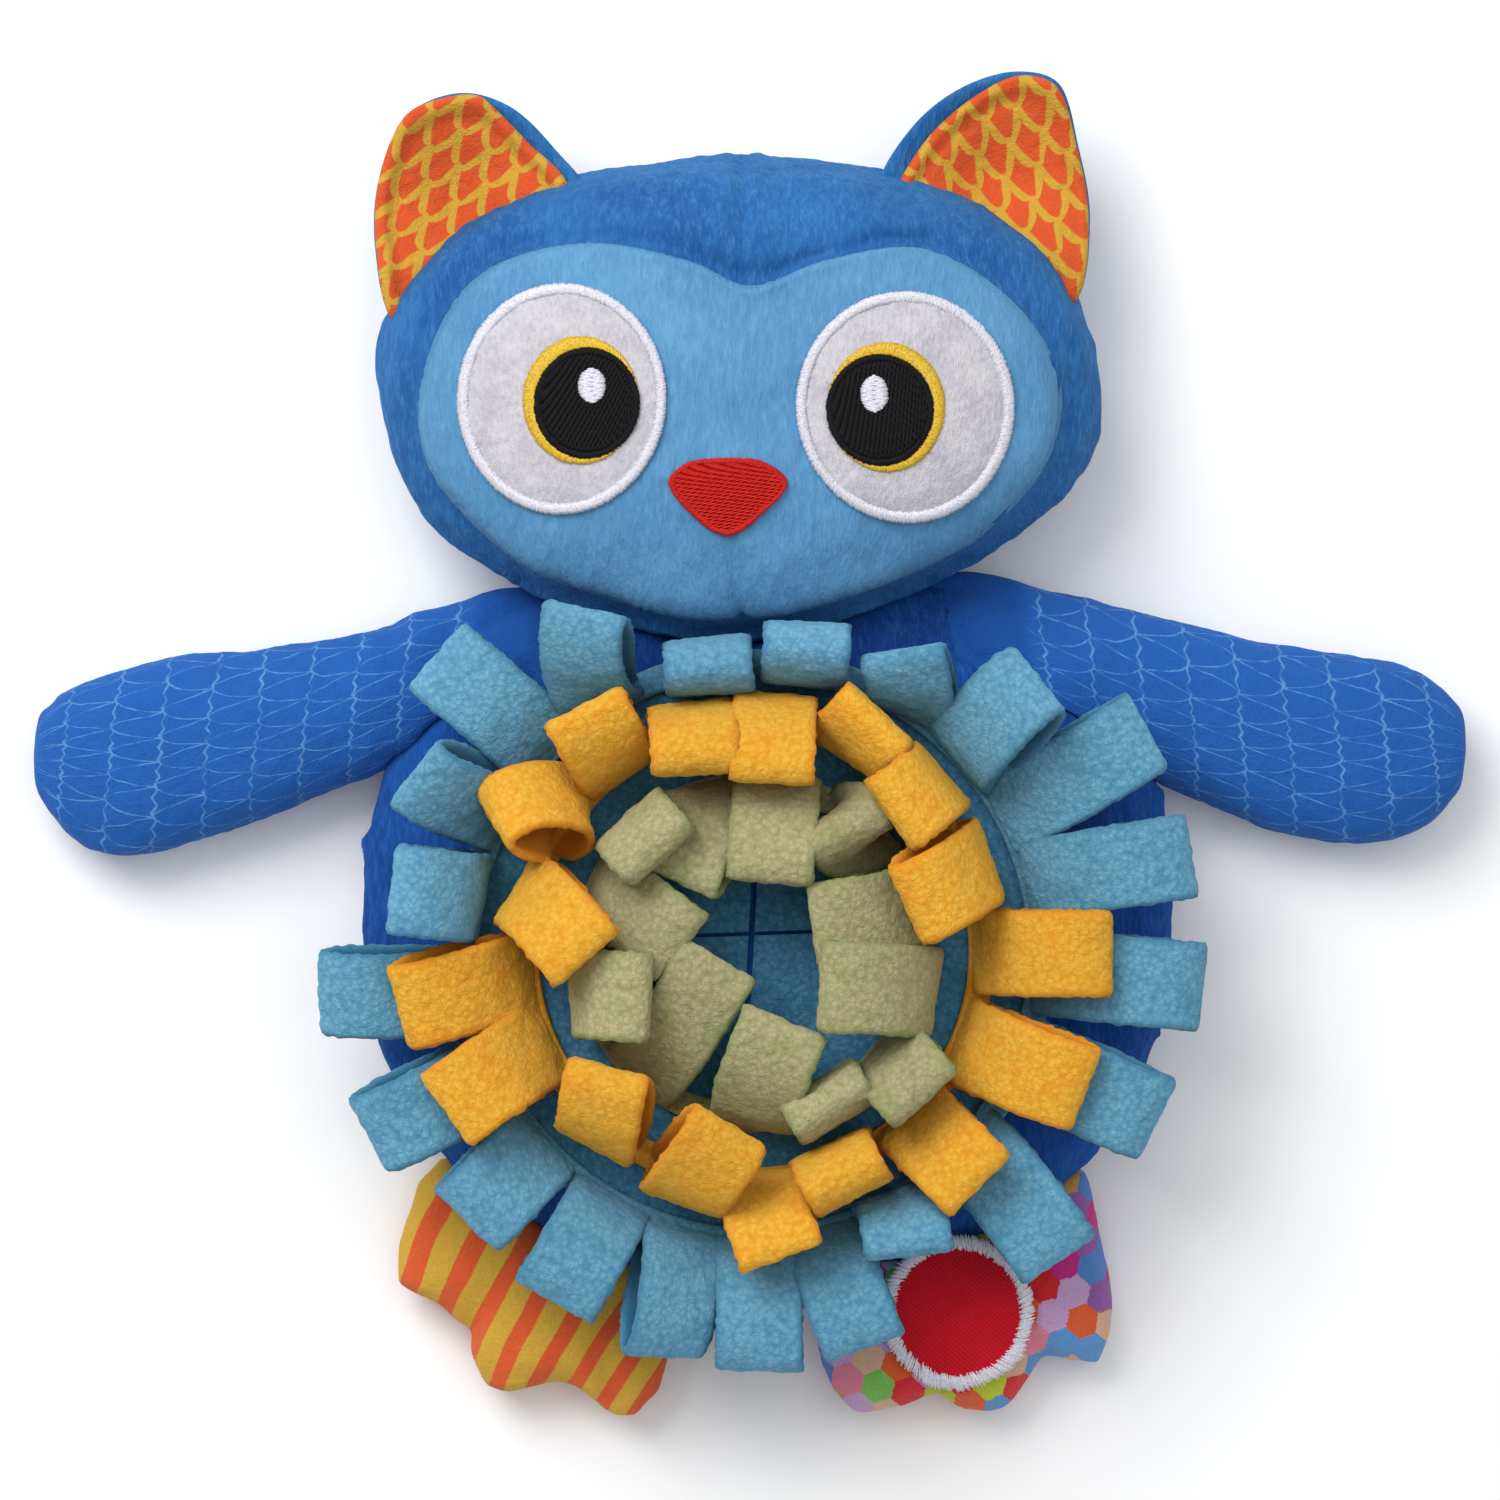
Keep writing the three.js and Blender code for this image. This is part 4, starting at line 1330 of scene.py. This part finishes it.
def upward(surface, x, y):
    return (surface(x, y, 1.0) - surface(x, y, 0.0)).normalized()


def satin(surface, centre, inner, outer, lift, pitch, slant, jitter=0.12):
    """Stitches side by side, each from an inner to an outer outline round a centre"""
    stitches = []
    angle = 0.0
    while angle < math.tau:
        near = inner(angle)
        far = outer(angle)
        if far - near > SHORTEST_STITCH:
            ends = []
            for reach, turned in ((near, angle - slant / far), (far, angle + slant / far)):
                reach += random.uniform(-jitter, jitter)
                x = centre[0] + reach * math.cos(turned)
                y = centre[1] + reach * math.sin(turned)
                ends.append(surface(x, y, lift))
            stitches.append((*ends, upward(surface, ends[0].x, ends[0].y)))
        angle += pitch / far
    return stitches


def satin_rim(surface, centre, reach, lift, wide, pitch, slant, jitter=0.12):
    """Stitches across the edge of a piece, all round it"""
    return satin(surface, centre, wider(reach, -wide), reach, lift, pitch, slant, jitter)


def reach_from(oval, start):
    """How far an oval reaches from a point inside it, in any direction"""
    x, y, half_wide, half_high = oval

    def reach(angle):
        ahead = (math.cos(angle) / half_wide, math.sin(angle) / half_high)
        off = ((start[0] - x) / half_wide, (start[1] - y) / half_high)
        a = ahead[0] ** 2 + ahead[1] ** 2
        b = ahead[0] * off[0] + ahead[1] * off[1]
        c = off[0] ** 2 + off[1] ** 2 - 1
        return (-b + math.sqrt(max(b * b - a * c, 0.0))) / a

    return reach


def fill_stitches(surface, centre, reach, lift, pitch, long, turn):
    """Rows of stitches that fill a shape, each row begun a third of a stitch before the last"""
    stitches = []
    ahead = Vector((math.cos(math.radians(turn)), math.sin(math.radians(turn))))
    side = Vector((-ahead.y, ahead.x))
    size = max(reach(math.radians(angle)) for angle in range(0, 360, 10))
    spots = [0.25 * k for k in range(int(-size * 4), int(size * 4) + 1)]
    rows = int(size / pitch) + 1
    for row in range(-rows, rows + 1):
        aside = side * (row * pitch)
        inside = []
        for spot in spots:
            where = ahead * spot + aside
            if where.length < reach(math.atan2(where.y, where.x)) - 0.15:
                inside.append(spot)
        if len(inside) < 2:
            continue
        at = inside[0] - (row % 3) * long / 3
        while at < inside[-1]:
            near = max(at, inside[0])
            far = min(at + long, inside[-1])
            if far - near > SHORTEST_STITCH:
                ends = []
                for spot in (near, far):
                    where = ahead * spot + aside
                    ends.append(surface(centre[0] + where.x, centre[1] + where.y, lift))
                stitches.append((*ends, upward(surface, ends[0].x, ends[0].y)))
            at += long
    return stitches


def applique_shape(x, y, share):
    point = (x, y, 0)
    edge = (1 - share) * 21
    return 0.3 * grain(point, 1.6, 71) + 0.25 * grain(point, 5.0, 72) - 0.4 * hump(edge, 2.5)


def make_eye(finishes, side, parts, pupil_turn):
    ovals = {}
    for part in ("white", "pupil", "glint"):
        x, y, half_wide, half_high = parts[part]
        ovals[part] = ((x, y), round_reach(half_wide, half_high))
    centre, reach = ovals["white"]
    white = cloth_layer(
        f"eye_{side}_white", centre, reach, on_head, bottom=0.5, top=2.0, corners=160, rings=30,
        shape=applique_shape)
    fix_to_toy(white, finishes["white"], "white_twill")
    rim = embroider(
        f"eye_{side}_rim", finishes["white_thread"], "white_twill",
        satin_rim(on_head, centre, wider(reach, 0.5), lift=2.1, wide=2.2, pitch=0.31, slant=0.3),
        wide=0.4, high=0.8)
    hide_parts("eye_" + side)
    declare_sheet(reach)

    centre, reach = ovals["pupil"]
    iris = satin(on_head, centre, wider(reach, -0.5), reach_from(parts["iris"], centre),
                 lift=2.5, pitch=0.33, slant=0.3)
    embroider(
        f"eye_{side}_iris", finishes["yellow_thread"], "white_twill", iris, wide=0.42, high=0.6)
    stitches = fill_stitches(
        on_head, centre, wider(reach, -1.0), lift=2.9, pitch=0.3, long=3.4, turn=pupil_turn)
    stitches += satin_rim(on_head, centre, reach, lift=2.9, wide=1.5, pitch=0.33, slant=0.2)
    pupil = embroider(
        f"eye_{side}_pupil", finishes["black_thread"], "black_thread", stitches, wide=0.42,
        high=0.5)
    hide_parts("pupil_" + side)

    glint = fill_stitches(on_head, *ovals["glint"], lift=3.3, pitch=0.3, long=8.0, turn=4)
    embroider(
        f"eye_{side}_glint", finishes["white_thread"], "white_twill", glint, wide=0.42, high=0.6)


def make_beak(finishes):
    centre = middle_of(BEAK_OUTLINE)
    reach = reach_of(BEAK_OUTLINE, centre)
    stitches = fill_stitches(on_head, centre, reach, lift=1.9, pitch=0.3, long=3.2, turn=8)
    stitches += satin_rim(
        on_head, centre, wider(reach, 0.4), lift=2.0, wide=1.4, pitch=0.33, slant=0.15)
    beak = embroider(
        "beak_stitches", finishes["red_thread"], "red_thread", stitches, wide=0.42, high=0.9)
    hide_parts("beak")


def make_patch(finishes):
    def shape(x, y, share):
        return 0.12 * grain((x, y, 0), 6.0, 81)

    reach = round_reach(PATCH_RADIUS, PATCH_RADIUS)
    disc = cloth_layer(
        "patch_twill", PATCH_CENTRE, wider(reach, -0.6), on_foot_right, bottom=0.5, top=1.7,
        corners=160, rings=24, shape=shape)
    fix_to_toy(disc, finishes["red_twill"], "red_twill")
    stitches = satin_rim(
        on_foot_right, PATCH_CENTRE, wider(reach, 0.3), lift=2.0, wide=2.8, pitch=0.34,
        slant=0.45, jitter=0.38)
    rim = embroider(
        "patch_rim", finishes["white_thread"], "red_twill", stitches, wide=0.4, high=0.7)
    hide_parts("patch")
    declare_sheet(reach)


# Floor, light and camera

def make_stage():
    deselect_all()
    bpy.ops.mesh.primitive_plane_add(size=6.0, location=(0, 0, -0.0002))
    floor = bpy.context.active_object
    floor.name = "pale_floor"
    edit_whole(bpy.ops.mesh.subdivide, number_cuts=3)
    bpy.ops.object.transform_apply(location=True, rotation=True, scale=True)
    floor.data.materials.append(floor_finish())


def add_light(name, azimuth, height, away, size, power):
    """A soft square light that looks at the toy"""
    lamp = bpy.data.lights.new(name, "AREA")
    lamp.shape = "SQUARE"
    lamp.size = size
    lamp.energy = power
    light = bpy.data.objects.new(name, lamp)
    turn = math.radians(azimuth)
    rise = math.radians(height)
    light.location = (away * math.cos(rise) * math.cos(turn),
                      away * math.cos(rise) * math.sin(turn), away * math.sin(rise))
    light.rotation_euler = (-light.location).to_track_quat("-Z", "Y").to_euler()
    bpy.context.scene.collection.objects.link(light)


def make_lights():
    add_light("window", azimuth=128, height=52, away=1.3, size=0.75, power=12.5)
    add_light("sky", azimuth=40, height=75, away=1.5, size=1.2, power=6.5)
    world = bpy.data.worlds.new("studio")
    world.use_nodes = True
    background = world.node_tree.nodes["Background"]
    background.inputs["Color"].default_value = (0.96, 0.98, 1.0, 1)
    background.inputs["Strength"].default_value = 0.44
    bpy.context.scene.world = world
    bpy.context.scene.view_settings.view_transform = "Standard"


def make_camera():
    eye_height = 1400.0
    plane_height = 25.0
    frame_wide = 312.0
    lens = bpy.data.cameras.new("camera")
    lens.sensor_width = 36.0
    lens.lens = lens.sensor_width * (eye_height - plane_height) / frame_wide
    camera = bpy.data.objects.new("camera", lens)
    camera.location = place((0.208, -0.416, eye_height))
    bpy.context.scene.collection.objects.link(camera)
    bpy.context.scene.camera = camera


def make_finishes():
    royal = (28, 82, 160)
    orange = (214, 86, 42)
    gold = (205, 160, 58)
    apricot = (240, 170, 100)
    deep_blue = (46, 110, 148)
    hexagons = (
        (225, 95, 45), (200, 40, 130), (215, 35, 45), (125, 190, 90), (190, 205, 50),
        (90, 150, 210), (80, 130, 200), (200, 160, 205), (205, 200, 205), (220, 175, 145),
        (150, 90, 165), (200, 150, 70), (225, 130, 150))
    return {
        "crown": combed_plush(
            "crown_plush", ((46, 108, 168), (84, 142, 192), (32, 88, 150)), (0, 90),
            (HEAD_CENTRE[0], HEAD_CENTRE[1] + 10, 18)),
        "face": combed_plush(
            "face_plush", ((92, 148, 190), (122, 176, 210), (78, 133, 178)), (25, -15)),
        "body": combed_plush(
            "body_plush", (royal, (56, 116, 190), (18, 62, 132)), (0, 90), (*BODY_CENTRE, 20)),
        "arm": arm_print("arm_print", (34, 94, 174), (96, 150, 205), (80, 135, 205), royal),
        "ear_left": ear_print("ear_left_print", -57, orange, gold, apricot),
        "ear_right": ear_print("ear_right_print", -110, orange, gold, apricot),
        "foot_left": striped_print("striped_print", (222, 90, 48), (212, 166, 62), (240, 205, 130)),
        "foot_right": hexagon_print("hexagon_print", (235, 215, 215), hexagons),
        # Each fleece gives its curly side, a painted highlight for the curl tops, a painted shade
        # for the crevices, and its knitted back
        "blue": nubby_fleece(
            "blue_fleece", (106, 168, 200), (140, 194, 216), (70, 136, 174), deep_blue),
        "yellow": nubby_fleece(
            "yellow_fleece", (246, 182, 56), (252, 204, 92), (228, 146, 34), (232, 130, 22)),
        "green": nubby_fleece(
            "green_fleece", (180, 174, 128), (204, 198, 156), (138, 140, 90), (110, 140, 66)),
        "base_fleece": nubby_fleece(
            "base_fleece", (76, 140, 176), (108, 168, 196), (44, 104, 146), deep_blue),
        "white": white_nap("white_velour", (206, 202, 208), (184, 180, 190), (225, 225, 232)),
        "white_thread": thread("white_thread", (226, 224, 232), (250, 250, 252), (192, 190, 204)),
        "yellow_thread": thread("yellow_thread", (226, 188, 40), (245, 220, 105), (186, 144, 24)),
        "black_thread": thread(
            "black_thread", (18, 16, 19), (34, 31, 36), (10, 9, 11), rough=0.7, gloss=0.2),
        "red_thread": thread(
            "red_thread", (206, 30, 24), (222, 58, 42), (168, 18, 16), rough=0.6, gloss=0.25),
        "red_twill": twill("red_twill", (216, 18, 42), (168, 8, 26)),
    }


random.seed(7)
make_camera()
finishes = make_finishes()
make_padded_pieces(finishes)
make_face(finishes)
make_eye(finishes, "left", EYES["left"], 75)
make_eye(finishes, "right", EYES["right"], 98)
make_beak(finishes)
make_ears(finishes)
make_base(finishes)
make_loops(finishes)
make_patch(finishes)
make_stage()
make_lights()
